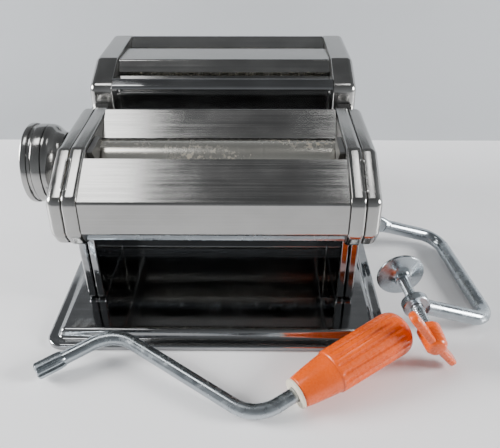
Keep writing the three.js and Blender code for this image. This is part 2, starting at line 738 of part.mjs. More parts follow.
function cutterFrontPlate() {
  const y = CUTTER_Y + 2;
  const path = [
    [y + 6, CUTTER_FLOOR + 4],
    [y, CUTTER_FLOOR + 7],
    [y, WIDE_AXIS_Z + 12.5],
    [y + 6, WIDE_AXIS_Z + 16.3],
    [CUTTER_Y + WIDE_NIP - 3.5, WIDE_AXIS_Z + 14.3],
  ];
  return sheet(path.reverse(), -CUTTER_HALF, CUTTER_HALF);
}

function cutterRoof() {
  const front = CUTTER_Y + WIDE_NIP + 1.5;
  const back = CUTTER_Y + NARROW_NIP - 1.5;
  const path = [
    [front, CUTTER_ROOF - 9],
    [front + 6, CUTTER_ROOF - 1.8],
    [back - 5, CUTTER_ROOF - 3],
    [back, CUTTER_ROOF - 7],
  ];
  return sheet(path.reverse(), -CUTTER_HALF, CUTTER_HALF);
}

function cutterRearPlate() {
  const lip = CUTTER_Y + NARROW_NIP + 5.5;
  const back = CUTTER_BACK - 1.5;
  const path = [
    [lip, CUTTER_ROOF - 5.5],
    [back - 4, CUTTER_ROOF - 0.3],
    [back, CUTTER_ROOF - 3],
    [back, CUTTER_FLOOR + 13],
    [back - 7, CUTTER_FLOOR + 5],
  ];
  return sheet(path.reverse(), -CUTTER_HALF, CUTTER_HALF);
}

function comb(shaft, side) {
  const tip = [shaft.y - side * 4.5, shaft.z - DISC_RADIUS - 2];
  const foot = [shaft.y + side * 8, tip[1] - 5];
  const path = side < 0 ? [foot, tip] : [tip, foot];
  return sheet(path, -CUTTER_HALF, CUTTER_HALF, 0.8);
}

function wideCutter({ y, z, socket }, shift) {
  const end = HALF_IN - 1;
  const left = -CUTTER_HALF_IN - PLATE - 2;
  const right = socket ? CUTTER_HALF_OUT - 0.8 : CUTTER_HALF_IN + PLATE + 7;
  const journal = socket ? CUTTER_JOURNAL_RADIUS : JOURNAL_RADIUS;
  const profile = [[left, 0], [left, JOURNAL_RADIUS], [-end - 1.5, JOURNAL_RADIUS], [-end - 1.5, GROOVE_RADIUS]];
  const width = DISC_PITCH / 2 - 0.6;
  for (let x = -end + shift; x + width < end; x += DISC_PITCH) {
    profile.push([x, GROOVE_RADIUS], [x, DISC_RADIUS], [x + width, DISC_RADIUS], [x + width, GROOVE_RADIUS]);
  }
  profile.push([end + 1.5, GROOVE_RADIUS], [end + 1.5, journal], [right, journal]);
  if (socket) profile.push([right, SOCKET_RADIUS], [right - 24, SOCKET_RADIUS], [right - 24, 0]);
  else profile.push([right, 0]);
  return turnedX(profile, y, z, 14);
}

function narrowCutter({ y, z, socket }) {
  const end = HALF_IN;
  const left = -CUTTER_HALF_IN - PLATE - 7;
  const right = socket ? CUTTER_HALF_OUT - 0.8 : CUTTER_HALF_IN + PLATE + 2;
  const journal = socket ? CUTTER_JOURNAL_RADIUS : JOURNAL_RADIUS;
  const profile = [
    [left, 0], [left, JOURNAL_RADIUS], [-end, JOURNAL_RADIUS], [-end, NARROW_RADIUS],
    [end, NARROW_RADIUS], [end, journal], [right, journal],
  ];
  if (socket) profile.push([right, SOCKET_RADIUS], [right - 24, SOCKET_RADIUS], [right - 24, 0]);
  else profile.push([right, 0]);
  return turnedX(profile, y, z, 16);
}

function cutterGear({ y, z, socket }, spacing, side) {
  const [x0, x1] = [CUTTER_HALF_IN + PLATE + 1.5, CUTTER_HALF_IN + PLATE + 6.5];
  const journal = socket && side > 0 ? CUTTER_JOURNAL_RADIUS : JOURNAL_RADIUS;
  const made = gear(x0, x1, y, z, {
    teeth: CUTTER_TEETH,
    pitchRadius: spacing / 2,
    addendum: CUTTER_ADDENDUM,
    dedendum: CUTTER_DEDENDUM,
    bore: journal + FIT,
    phase: socket ? 0 : 0.5,
  });
  return side < 0 ? mirrored(made) : made;
}

// ---- Bent rods
function bentRod(corners, bend, radius, steps) {
  const path = new THREE.CurvePath();
  let from = corners[0];
  corners.slice(1, -1).forEach((corner, i) => {
    const back = corners[i].clone().sub(corner).setLength(bend);
    const ahead = corners[i + 2].clone().sub(corner).setLength(bend);
    const [start, end] = [back.add(corner), ahead.add(corner)];
    path.add(new THREE.LineCurve3(from, start));
    path.add(new THREE.QuadraticBezierCurve3(start, corner, end));
    from = end;
  });
  path.add(new THREE.LineCurve3(from, corners.at(-1)));
  const circle = new THREE.Shape().absarc(0, 0, radius, 0, 2 * Math.PI);
  const settings = { extrudePath: path, steps, curveSegments: 5 };
  return solid(new THREE.ExtrudeGeometry(circle, settings));
}

function crankRod() {
  const bend = new THREE.Vector3(-CRANK_RAKE, CRANK_THROW, 0);
  const tip = new THREE.Vector3(-CRANK_RAKE - CRANK_SHAFT, CRANK_THROW, 0);
  const end = new THREE.Vector3(GRIP_END - 2, 0, 0);
  const rod = bentRod([tip, bend, new THREE.Vector3(), end], CRANK_BEND, ROD_RADIUS, 44);
  const half = FIN_THICKNESS / 2;
  const [x0, x1] = [tip.x - 0.5, tip.x + FIN_LENGTH];
  const [y0, y1] = [CRANK_THROW - FIN_RADIUS, CRANK_THROW + FIN_RADIUS];
  return join(
    rod,
    block(x0, x1, y0, y1, -half, half),
    block(x0, x1, CRANK_THROW - half, CRANK_THROW + half, -FIN_RADIUS, FIN_RADIUS),
  );
}

function gripBody() {
  const bore = ROD_RADIUS + 0.35;
  const profile = [
    [GRIP_START, bore], [GRIP_START, GRIP_NECK_RADIUS], [GRIP_STEP, GRIP_STEP_RADIUS],
    [GRIP_STEP + 0.6, GRIP_STEP_RADIUS + 0.6], [GRIP_END, GRIP_RADIUS],
    [GRIP_END + 0.45 * GRIP_DOME, GRIP_RADIUS - 2], [GRIP_END + 0.85 * GRIP_DOME, GRIP_RADIUS - 6.5],
    [GRIP_END + GRIP_DOME, 0], [GRIP_END - 1, 0], [GRIP_END - 1, bore], [GRIP_START, bore],
  ];
  return turnedX(profile, 0, 0, 24);
}

function gripWasher() {
  const x1 = GRIP_START - FIT;
  return ringX(x1 - WASHER_WIDTH, x1, 0, 0, ROD_RADIUS + 0.3, GRIP_NECK_RADIUS - 0.2);
}

// ---- Clamp, drawn with its back along Y and its two arms towards -X
function turnedY(profile, x, segments = 20) {
  return solid(turned(profile, segments).translate(x, 0, 0));
}

function clampBar() {
  const tongueY = CLAMP_BACK - CLAMP_ARM_DROOP;
  const corners = [[-CLAMP_ARM, 0], [0, 0], [0, CLAMP_BACK], [-CLAMP_ARM, tongueY]];
  const points = corners.map(([x, y]) => new THREE.Vector3(x, y, 0));
  const rod = bentRod(points, CLAMP_BEND, BAR_RADIUS, 36);
  const [wide, thick] = [TONGUE_WIDTH / 2, TONGUE_THICKNESS / 2];
  const [near, far] = [1 - CLAMP_ARM, -CLAMP_ARM - TONGUE_LENGTH];
  const flat = block(far, near, tongueY - thick, tongueY + thick, -wide, wide);
  const half = EYE_THICKNESS / 2;
  const eye = turnedY([[-half, 0], [-half, EYE_RADIUS], [half, EYE_RADIUS], [half, 0]], -CLAMP_THROAT);
  const web = block(-CLAMP_THROAT, near, -half, half, -BAR_RADIUS, BAR_RADIUS);
  const hole = SCREW_RADIUS + FIT;
  const bore = turnedY([[-9, 0], [-9, hole], [9, hole], [9, 0]], -CLAMP_THROAT);
  return cut(join(rod, flat, eye, web), bore);
}

function clampPad() {
  const hub = SCREW_RADIUS + 2;
  const bore = SCREW_RADIUS + FIT;
  const face = PAD_PLACE;
  const loop = [
    [face - 5, bore], [face - 5, hub], [face - 1.5, hub], [face + PAD_DISH - 1.2, PAD_RADIUS],
    [face + PAD_DISH, PAD_RADIUS], [face + 1.5, hub], [face + 1.5, 0], [face, 0], [face, bore],
    [face - 5, bore],
  ];
  return turnedY(loop, -CLAMP_THROAT, 28);
}

function clampScrew() {
  const [low, high] = [-WING_PLACE + 1.5, PAD_PLACE - FIT];
  return turnedY([[low, 0], [low, SCREW_RADIUS], [high, SCREW_RADIUS], [high, 0]], -CLAMP_THROAT, 16);
}

function clampWing() {
  const hub = turned([
    [-WING_PLACE - 9, 0], [-WING_PLACE - 9, 5], [-WING_PLACE - 7, 6.5],
    [-WING_PLACE + 7, 7.2], [-WING_PLACE + 7, 0],
  ]);
  const wing = rounded(
    [
      [-WING_SPAN, -WING_PLACE - 5], [-5, -WING_PLACE - 8], [5, -WING_PLACE - 8],
      [WING_SPAN, -WING_PLACE - 5], [WING_SPAN, -WING_PLACE + 4], [-WING_SPAN, -WING_PLACE + 4],
    ],
    4,
  );
  const plate = extrude(wing, WING_THICKNESS, 1.2).translate(0, 0, -WING_THICKNESS / 2);
  plate.rotateY(THREE.MathUtils.degToRad(WING_TURN));
  const hole = SCREW_RADIUS + FIT;
  const bore = turned([
    [-WING_PLACE + 1.2, 0], [-WING_PLACE + 1.2, hole], [-WING_PLACE + 9, hole], [-WING_PLACE + 9, 0],
  ]);
  const made = cut(join(solid(hub), solid(plate)), solid(bore));
  return placed(made, new THREE.Matrix4().makeTranslation(-CLAMP_THROAT, 0, 0));
}

function placed(made, matrix) {
  return solid(geometryOf(made).applyMatrix4(matrix));
}

// ---- Assembly
const SIDES = [["left", -1], ["right", 1]];

function base(group) {
  add(group, "base_tray", baseTray(), mirrorSteel);
  add(group, "leg_left", mirrored(leg()), mirrorSteel);
  add(group, "leg_right", leg(), mirrorSteel);
  add(group, "back_wall", backWall(), mirrorSteel);
  add(group, "clamp_socket", clampSocket(), darkSteel);
}

function body(group) {
  const rim = cheekRim();
  const capHoles = {
    left: { y: KNOB_Y, radius: SPINDLE_RADIUS + 3 + FIT },
    right: { y: DRIVE_Y, radius: DRIVE_JOURNAL_RADIUS + 0.5 },
  };
  for (const [name, side] of SIDES) {
    const cap = cheekCap(capHoles[name]);
    const channel = rail();
    add(group, "side_plate_" + name, sidePlate(side), darkSteel);
    add(group, "cheek_rim_" + name, side < 0 ? mirrored(rim) : rim, nickelPlate);
    add(group, "cheek_cap_" + name, side < 0 ? mirrored(cap) : cap, nickelPlate);
    add(group, "drive_bush_" + name, driveBush(side), bronze);
    add(group, "end_guide_" + name, endGuide(side), darkSteel);
    add(group, "cutter_rail_" + name, side < 0 ? mirrored(channel) : channel, nickelPlate);
  }
  for (const [name, [y, z]] of Object.entries(TIE_RODS)) {
    add(group, name, tieRod(y, z), zincPlate);
  }
  add(group, "front_cover", frontCover(), brushedSteel);
  add(group, "hopper_plate", hopperPlate(), brushedSteel);
  add(group, "rear_cover", rearCover(), brushedSteel);
  add(group, "scraper_front", scraper(DRIVE_Y, -122), darkSteel);
  add(group, "scraper_rear", scraper(REAR_Y, -58), darkSteel);
}

function rollers(group) {
  add(group, "drive_roller", driveRoller(), polishedRoller);
  add(group, "drive_gear", rollerGear(DRIVE_Y, DRIVE_JOURNAL_RADIUS, 0), darkSteel);
  add(group, "bearing_block_left", bearingBlock(-1), bronze);
  add(group, "bearing_block_right", bearingBlock(1), bronze);
  add(group, "adjust_roller", adjustRoller(), polishedRoller);
  add(group, "adjust_gear", rollerGear(REAR_Y, JOURNAL_RADIUS, 0.5), darkSteel);
}

function knob(group) {
  add(group, "knob_bush", knobBush(), bronze);
  add(group, "knob_spindle", knobSpindle(), zincPlate);
  add(group, "knob_body", knobBody(), nickelPlate);
  add(group, "knob_dial", knobDial(), nickelPlate);
}

function cutter(group) {
  for (const [name, side] of SIDES) {
    const slider = tongue();
    add(group, "cutter_plate_" + name, cutterSidePlate(side), darkSteel);
    add(group, "cutter_cheek_" + name, cutterCheek(side), nickelPlate);
    add(group, "cutter_tongue_" + name, side < 0 ? mirrored(slider) : slider, nickelPlate);
  }
  const [wideFront, wideRear, narrowFront, narrowRear] = CUTTER_SHAFTS;
  add(group, "cutter_front_plate", cutterFrontPlate(), mirrorSteel);
  add(group, "cutter_roof", cutterRoof(), brushedSteel);
  add(group, "cutter_rear_plate", cutterRearPlate(), brushedSteel);
  add(group, "comb_wide", comb(wideFront, -1), darkSteel);
  add(group, "comb_narrow", comb(narrowRear, 1), darkSteel);
  add(group, "wide_cutter_front", wideCutter(wideFront, 0.6), polishedRoller);
  add(group, "wide_cutter_rear", wideCutter(wideRear, 0.6 + DISC_PITCH / 2), polishedRoller);
  add(group, "narrow_cutter_front", narrowCutter(narrowFront), polishedRoller);
  add(group, "narrow_cutter_rear", narrowCutter(narrowRear), polishedRoller);
  add(group, "wide_gear_front", cutterGear(wideFront, WIDE_SPACING, 1), darkSteel);
  add(group, "wide_gear_rear", cutterGear(wideRear, WIDE_SPACING, 1), darkSteel);
  add(group, "narrow_gear_front", cutterGear(narrowFront, NARROW_SPACING, -1), darkSteel);
  add(group, "narrow_gear_rear", cutterGear(narrowRear, NARROW_SPACING, -1), darkSteel);
}

function looseGroup(place, [roll, pitch, heading]) {
  const group = new THREE.Group();
  const [x, y, z] = [roll, pitch, heading].map(THREE.MathUtils.degToRad);
  group.position.copy(place);
  group.rotation.set(x, y, z, "ZYX");
  return group;
}

function crank() {
  const group = looseGroup(CRANK_PLACE, CRANK_TURN);
  add(group, "crank_rod", crankRod(), zincPlate);
  add(group, "grip_washer", gripWasher(), creamPlastic);
  add(group, "grip", gripBody(), orangePlastic);
  return group;
}

function clamp() {
  const place = new THREE.Vector3(BASE_HALF + CLAMP_FROM_BASE, CLAMP_Y, CLAMP_Z);
  const group = looseGroup(place, CLAMP_TURN);
  add(group, "clamp_bar", clampBar(), zincPlate);
  add(group, "clamp_pad", clampPad(), zincPlate);
  add(group, "clamp_screw", clampScrew(), zincPlate);
  add(group, "clamp_wing", clampWing(), orangePlastic);
  return group;
}

const group = new THREE.Group();
base(group);
body(group);
rollers(group);
knob(group);
cutter(group);
group.add(crank(), clamp());

export default group;
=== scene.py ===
import json
import math

import bmesh
import bpy
from mathutils import Euler, Matrix, Vector


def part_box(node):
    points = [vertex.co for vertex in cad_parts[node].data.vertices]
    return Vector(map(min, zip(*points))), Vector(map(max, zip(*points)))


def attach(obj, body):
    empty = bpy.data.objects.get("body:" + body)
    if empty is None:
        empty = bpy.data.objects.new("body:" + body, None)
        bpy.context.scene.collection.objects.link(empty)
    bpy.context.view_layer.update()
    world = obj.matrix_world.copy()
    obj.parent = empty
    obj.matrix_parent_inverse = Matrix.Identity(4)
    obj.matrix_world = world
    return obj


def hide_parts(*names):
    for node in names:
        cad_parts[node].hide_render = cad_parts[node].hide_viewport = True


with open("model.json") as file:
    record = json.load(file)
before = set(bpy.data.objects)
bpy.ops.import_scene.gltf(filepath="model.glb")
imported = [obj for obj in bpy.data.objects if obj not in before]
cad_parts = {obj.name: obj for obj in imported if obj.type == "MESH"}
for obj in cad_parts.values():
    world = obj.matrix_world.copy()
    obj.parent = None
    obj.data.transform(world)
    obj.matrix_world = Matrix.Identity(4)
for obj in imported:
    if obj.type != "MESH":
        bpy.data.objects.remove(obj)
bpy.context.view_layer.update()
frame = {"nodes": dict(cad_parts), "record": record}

bl_info = {
    "name": "Pasta roller machine",
    "version": (1, 0, 0),
    "blender": (4, 5, 0),
    "location": "3D View > Sidebar > Pasta roller",
    "description": "Builds the finished surfaces of a hand-cranked pasta roller",
    "category": "Object",
}

MM = 0.001
SIDES = (("left", -1), ("right", 1))

# Places read from the solid model, in metres.
RIM_LOW, RIM_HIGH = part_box("cheek_rim_right")
CAP_LOW, CAP_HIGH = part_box("cheek_cap_right")
CASE_LOW, CASE_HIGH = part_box("cutter_cheek_right")
TRAY_LOW, TRAY_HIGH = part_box("base_tray")
COVER_LOW, COVER_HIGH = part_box("front_cover")
DRIVE_LOW, DRIVE_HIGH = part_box("drive_roller")
IDLE_LOW, IDLE_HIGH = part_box("adjust_roller")
KNOB_LOW, KNOB_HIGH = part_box("knob_body")
DIAL_LOW, DIAL_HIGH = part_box("knob_dial")
ROLLER_RADIUS = (DRIVE_HIGH.z - DRIVE_LOW.z) / 2
AXIS_Z = (DRIVE_HIGH.z + DRIVE_LOW.z) / 2
DRIVE_Y = (DRIVE_HIGH.y + DRIVE_LOW.y) / 2
IDLE_Y = (IDLE_HIGH.y + IDLE_LOW.y) / 2
KNOB_Y = (KNOB_HIGH.y + KNOB_LOW.y) / 2
KNOB_RADIUS = (KNOB_HIGH.z - KNOB_LOW.z) / 2
BODY_INNER = RIM_LOW.x

# Journals, sockets and small edges, in millimetres.
JOURNAL = 6.0
SOCKET_JOURNAL = 7.2
CRANK_SOCKET = 5.6
ROLLER_SOCKET_DEPTH = 32
CUTTER_SOCKET_DEPTH = 24
CHAMFER = 0.4
ROLLER_END_GAP = 0.4
SKIN = 0.02
SMALLEST_RADIUS = 0.01

# The angles in degrees from which an edge is drawn sharp.
ROLLER_SHARP = 30
PLAIN_SHARP = 35
KNOB_SHARP = 38
SHEET_SHARP = 40
GRIP_SHARP = 45
PRESSED_SHARP = 50

# How finely round things are made.
ROUND_STEPS = 7
ROD_STEPS = 32
ROD_BEND_STEPS = 14
ROD_SPACING = 4 * MM
BEVEL_SEGMENTS = 3
BEVEL_ANGLE = math.radians(35)
ROLLER_STEPS = 128
KNOB_STEPS = 128
WIDE_STEPS = 64
NARROW_STEPS = 48
WASHER_STEPS = 64
TONGUE_STEPS = 40

# The camera, solved with the machine's sizes.
CAMERA_PLACE = Vector((23.4, -252.2, 259.0)) * MM
CAMERA_YAW = math.radians(0.71)
CAMERA_ROLL = math.radians(-0.17)
SENSOR_WIDTH = 36
NEAREST_SEEN = 10 * MM

# The loose pieces lie turned; these are the same turns that the solid model has.
CRANK_PLACE = Vector((23.6, -56.9, 5.7)) * MM
CRANK_TURN = (8.45, -8.06, 31.8)
CLAMP_PLACE = Vector((173.7, 20.3, 4.8)) * MM
CLAMP_TURN = (0.85, 20.06, 6.97)


# ---- Settings a user would change


class FinishSettings(bpy.types.PropertyGroup):
    """Colours and finishes of the machine's materials."""

    steel: bpy.props.FloatVectorProperty(
        name="Steel", description="Colour of the bright steel", subtype="COLOR", size=3,
        default=(0.39, 0.387, 0.377), min=0, max=1)
    mirror: bpy.props.FloatVectorProperty(
        name="Mirror steel", description="Colour of the mirror-bright pressings",
        subtype="COLOR", size=3, default=(0.33, 0.335, 0.34), min=0, max=1)
    zinc: bpy.props.FloatVectorProperty(
        name="Zinc", description="Colour of the plated rods", subtype="COLOR", size=3,
        default=(0.45, 0.49, 0.52), min=0, max=1)
    roller: bpy.props.FloatVectorProperty(
        name="Roller", description="Colour of the ground rollers", subtype="COLOR", size=3,
        default=(0.68, 0.66, 0.6), min=0, max=1)
    flour: bpy.props.FloatVectorProperty(
        name="Flour", description="Colour of the dried flour left on the roller",
        subtype="COLOR", size=3, default=(0.5, 0.34, 0.14), min=0, max=1)
    bronze: bpy.props.FloatVectorProperty(
        name="Bronze", description="Colour of the bearing bushes", subtype="COLOR", size=3,
        default=(0.55, 0.4, 0.2), min=0, max=1)
    plastic: bpy.props.FloatVectorProperty(
        name="Grip", description="Colour of the grip and the wing", subtype="COLOR", size=3,
        default=(0.8, 0.1, 0.0), min=0, max=1)
    washer: bpy.props.FloatVectorProperty(
        name="Washer", description="Colour of the grip's washer", subtype="COLOR", size=3,
        default=(0.78, 0.7, 0.55), min=0, max=1)


class SizeSettings(bpy.types.PropertyGroup):
    """Small sizes of the finished surfaces."""

    sheet: bpy.props.FloatProperty(
        name="Sheet", description="Thickness of the folded covers", subtype="DISTANCE",
        unit="LENGTH", default=0.9 * MM, min=0.3 * MM, max=1 * MM)
    bend: bpy.props.FloatProperty(
        name="Bend", description="Radius of the covers' folds", subtype="DISTANCE",
        unit="LENGTH", default=2.2 * MM, min=0.5 * MM, max=4 * MM)
    edge: bpy.props.FloatProperty(
        name="Edge", description="Rounding of machined edges", subtype="DISTANCE",
        unit="LENGTH", default=0.3 * MM, min=0.1 * MM, max=0.6 * MM)
    flutes: bpy.props.IntProperty(
        name="Flutes", description="Number of flutes round the grip", default=16, min=6, max=30)
    strand: bpy.props.FloatProperty(
        name="Narrow strand", description="Width of a strand from the narrow cutter",
        subtype="DISTANCE", unit="LENGTH", default=2 * MM, min=1 * MM, max=3 * MM)


class StageSettings(bpy.types.PropertyGroup):
    """The table, the light and the camera."""

    lens: bpy.props.FloatProperty(
        name="Lens", description="Focal length of the camera in millimetres", default=41.04,
        min=20, max=100)
    pitch: bpy.props.FloatProperty(
        name="Pitch", description="How far the camera looks down", subtype="ANGLE",
        unit="ROTATION", default=math.radians(33.5))
    key_power: bpy.props.FloatProperty(
        name="Key", description="Power of the overhead softbox", subtype="POWER", unit="POWER",
        default=1.0, min=0)
    fill_power: bpy.props.FloatProperty(
        name="Fill", description="Power of the side light", subtype="POWER", unit="POWER",
        default=42.0, min=0)


# ---- Outlines and meshes


def fillet(corners, radius, closed=True, steps=6):
    """The corners of a line or an outline, each one rounded to an arc of the given radius."""
    points = []
    count = len(corners)
    for i, corner in enumerate(corners):
        here = Vector(corner)
        if not closed and i in (0, count - 1):
            points.append(here)
            continue
        before = Vector(corners[i - 1]) - here
        after = Vector(corners[(i + 1) % count]) - here
        half = before.angle(after) / 2
        most = 0.48 * min(before.length, after.length)
        reach = min(radius / math.tan(half), most)
        start = here + before.normalized() * reach
        end = here + after.normalized() * reach
        between = (before.normalized() + after.normalized()).normalized()
        centre = here + between * reach / math.cos(half)
        size = reach * math.tan(half)
        for k in range(steps + 1):
            along = start.lerp(end, k / steps) - centre
            points.append(centre + along.normalized() * size)
    return points


def inset(points, distance):
    """A closed anticlockwise outline moved inwards."""
    moved = []
    count = len(points)
    for i, point in enumerate(points):
        before = (point - points[i - 1]).normalized()
        after = (points[(i + 1) % count] - point).normalized()
        normal = Vector((-before.y - after.y, before.x + after.x))
        share = max(1 + before.dot(after), 0.3)
        moved.append(point + normal * distance / share)
    return moved


def solid_from_rings(rings, loop=False):
    """Vertices and faces of a skin over rings of equally many points."""
    size = len(rings[0])
    vertices = [tuple(point) for ring in rings for point in ring]
    faces = []
    last = len(rings) if loop else len(rings) - 1
    for r in range(last):
        here = r * size
        there = ((r + 1) % len(rings)) * size
        for k in range(size):
            step = (k + 1) % size
            faces.append((here + k, here + step, there + step, there + k))
    if not loop:
        faces.append(tuple(reversed(range(size))))
        faces.append(tuple(range(len(vertices) - size, len(vertices))))
    return vertices, faces


def face_outwards(mesh):
    """Joins vertices that lie in one place and turns every face outwards."""
    work = bmesh.new()
    work.from_mesh(mesh)
    bmesh.ops.remove_doubles(work, verts=work.verts, dist=1e-6)
    bmesh.ops.recalc_face_normals(work, faces=work.faces)
    work.to_mesh(mesh)
    work.free()


def add_object(name, data):
    """A new object, linked to the scene."""
    made = bpy.data.objects.new(name, data)
    bpy.context.scene.collection.objects.link(made)
    return made


def piece(name, shape, body, slot, sharp=SHEET_SHARP, replaces=(), flat=True):
    """A finished piece from one or more (vertices, faces) shapes."""
    name = name.replace(" ", "_")
    shapes = shape if isinstance(shape, list) else [shape]
    mesh = bpy.data.meshes.new(name)
    vertices, faces = [], []
    for some_vertices, some_faces in shapes:
        start = len(vertices)
        vertices.extend(some_vertices)
        faces.extend([tuple(start + k for k in face) for face in some_faces])
    mesh.from_pydata(vertices, [], faces)
    face_outwards(mesh)
    mesh.shade_smooth()
    mesh.set_sharp_from_angle(angle=math.radians(sharp))
    mesh.materials.append(material_for(slot))
    made = add_object(name, mesh)
    if flat:
        weighted = made.modifiers.new("Flat faces", "WEIGHTED_NORMAL")
        weighted.keep_sharp = True
    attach(made, body)
    if replaces:
        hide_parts(*replaces)
    return made


def soften(made, width):
    """Rounds a piece's sharp edges."""
    bevel = made.modifiers.new("Soft edges", "BEVEL")
    bevel.width = width
    bevel.segments = BEVEL_SEGMENTS
    bevel.limit_method = "ANGLE"
    bevel.angle_limit = BEVEL_ANGLE
    bevel.harden_normals = True


def pierce(made, tool_shape):
    """Cuts a shape out of a piece and drops the tool."""
    mesh = bpy.data.meshes.new("tool")
    mesh.from_pydata(tool_shape[0], [], tool_shape[1])
    face_outwards(mesh)
    tool = add_object("tool", mesh)
    cut = made.modifiers.new("Hole", "BOOLEAN")
    cut.operation = "DIFFERENCE"
    cut.object = tool
    cut.solver = "EXACT"
    bpy.context.view_layer.update()
    graph = bpy.context.evaluated_depsgraph_get()
    result = bpy.data.meshes.new_from_object(made.evaluated_get(graph))
    made.modifiers.remove(cut)
    made.data = result
    result.shade_smooth()
    result.set_sharp_from_angle(angle=math.radians(PLAIN_SHARP))
    bpy.data.objects.remove(tool)


def around(steps):
    """Angles at even steps once round a circle."""
    return [2 * math.pi * k / steps for k in range(steps)]


def ring_about_x(x, y, z, radius, steps):
    """One ring round an axis along X."""
    return [
        Vector((x, y + radius * math.cos(angle), z + radius * math.sin(angle)))
        for angle in around(steps)
    ]


def turned(profile, y, z, steps, side=1, loop=False):
    """A turned piece on an axis along X. Profile points are (x, radius) in millimetres."""
    rings = [
        ring_about_x(side * x * MM, y, z, max(r, SMALLEST_RADIUS) * MM, steps) for x, r in profile
    ]
    return solid_from_rings(rings, loop=loop)


def placed(place, x, y, z):
    """A loose piece's point, given in millimetres in its own space."""
    return place @ (Vector((x, y, z)) * MM)


def turned_on_y(profile, place, x, steps, loop=False):
    """A turned piece on a loose piece's own Y axis. Profile points are (y, radius)."""
    rings = [
        [
            placed(place, x + r * math.cos(angle), y, r * math.sin(angle))
            for angle in around(steps)
        ]
        for y, r in ((y, max(r, SMALLEST_RADIUS)) for y, r in profile)
    ]
    return solid_from_rings(rings, loop=loop)


def folded_sheet(corners, x0, x1, thickness, bend):
    """Sheet metal folded along corners given as (y, z); its thickness goes to the line's left."""
    near = fillet([Vector(c) for c in corners], bend, closed=False)
    far = []
    for i, point in enumerate(near):
        before = (point - near[max(i - 1, 0)]) or (near[1] - near[0])
        after = (near[min(i + 1, len(near) - 1)] - point) or (near[-1] - near[-2])
        along = (before.normalized() + after.normalized()).normalized()
        far.append(point + Vector((-along.y, along.x)) * thickness)
    outline = near + far[::-1]
    rings = [[Vector((x, p.x, p.y)) for p in outline] for x in (x0, x1)]
    return solid_from_rings(rings)


def sheet_piece(name, corners, x0, x1, sheet, bend, body, slot):
    """A folded cover, which replaces the node of the same name."""
    shape = folded_sheet(corners, x0, x1, sheet, bend)
    piece(name, shape, body, slot, SHEET_SHARP, [name.lower().replace(" ", "_")])


def tube(points, radius):
    """A round rod along a line."""
    tangents = []
    for i in range(len(points)):
        ahead = points[min(i + 1, len(points) - 1)]
        behind = points[max(i - 1, 0)]
        tangents.append((ahead - behind).normalized())
    side = tangents[0].orthogonal().normalized()
    rings = []
    for point, tangent in zip(points, tangents):
        side = (side - tangent * side.dot(tangent)).normalized()
        up = tangent.cross(side)
        rings.append([
            point + (side * math.cos(angle) + up * math.sin(angle)) * radius
            for angle in around(ROD_STEPS)
        ])
    return solid_from_rings(rings)


def rod_line(corners, bend):
    """A rod's middle line with even points along its straights."""
    line = fillet(corners, bend, closed=False, steps=ROD_BEND_STEPS)
    points = [line[0]]
    for point in line[1:]:
        gap = (point - points[-1]).length
        parts = max(1, int(gap / ROD_SPACING))
        start = points[-1]
        points.extend(start.lerp(point, (k + 1) / parts) for k in range(parts))
    return points


def loose_matrix(place, turn):
    """Where a loose piece lies."""
    angles = [math.radians(a) for a in turn]
    return Matrix.Translation(place) @ Euler(angles, "XYZ").to_matrix().to_4x4()


# ---- Materials


def shader_node(tree, kind, inputs=None, **settings):
    made = tree.nodes.new(kind)
    for key, value in settings.items():
        setattr(made, key, value)
    for key, value in (inputs or {}).items():
        made.inputs[key].default_value = value
    return made


def noise(tree, scale, stretch, detail):
    """Noise in the machine's own space, stretched along the directions with a small factor."""
    place = shader_node(tree, "ShaderNodeTexCoord")
    mapping = shader_node(tree, "ShaderNodeMapping", {"Scale": stretch})
    texture = shader_node(tree, "ShaderNodeTexNoise", {"Scale": scale, "Detail": detail})
    tree.links.new(place.outputs["Object"], mapping.inputs["Vector"])
    tree.links.new(mapping.outputs["Vector"], texture.inputs["Vector"])
    return texture.outputs["Fac"]


def spread(tree, value, low, high, start=0.35, end=0.65):
    """A value stretched from start..end to low..high."""
    made = shader_node(tree, "ShaderNodeMapRange", {
        "From Min": start, "From Max": end, "To Min": low, "To Max": high})
    tree.links.new(value, made.inputs["Value"])
    return made.outputs["Result"]


def tinted(tree, amount, first, second):
    """A colour between two, by amount."""
    made = shader_node(tree, "ShaderNodeMix", data_type="RGBA")
    made.inputs["A"].default_value = (*first, 1)
    made.inputs["B"].default_value = (*second, 1)
    tree.links.new(amount, made.inputs["Factor"])
    return made.outputs["Result"]


def total(tree, first, second):
    made = shader_node(tree, "ShaderNodeMath", operation="ADD")
    tree.links.new(first, made.inputs[0])
    tree.links.new(second, made.inputs[1])
    return made.outputs["Value"]


def roughen(tree, shader, height, strength, distance):
    bump = shader_node(tree, "ShaderNodeBump", {"Strength": strength, "Distance": distance})
    tree.links.new(height, bump.inputs["Height"])
    tree.links.new(bump.outputs["Normal"], shader.inputs["Normal"])


def start_material(name):
    material = bpy.data.materials.new(name)
    material.use_nodes = True
    return material, material.node_tree, material.node_tree.nodes["Principled BSDF"]


def metal(name, colour, rough, grain, depth, smears):
    """Metal with a grain that is stretched along one direction, and faint smears."""
    material, tree, shader = start_material(name)
    shader.inputs["Metallic"].default_value = 1.0
    lines = noise(tree, 1.0, grain, 3.0)
    stains = noise(tree, 38.0, (1, 1.3, 1.1), 5.0)
    darker = [c * 0.8 for c in colour]
    tone = total(tree, spread(tree, lines, 0, 0.45), spread(tree, stains, 0, 0.55))
    tree.links.new(tinted(tree, tone, darker, colour), shader.inputs["Base Color"])
    soft = total(tree, spread(tree, lines, rough[0], rough[1]), spread(tree, stains, 0, smears))
    tree.links.new(soft, shader.inputs["Roughness"])
    roughen(tree, shader, lines, depth, 0.02 * MM)
    return material


GRAIN_ACROSS = (9, 1500, 1500)
GRAIN_ROUND = (2600, 30, 30)
ROLLER_GRAIN = (700, 8, 8)


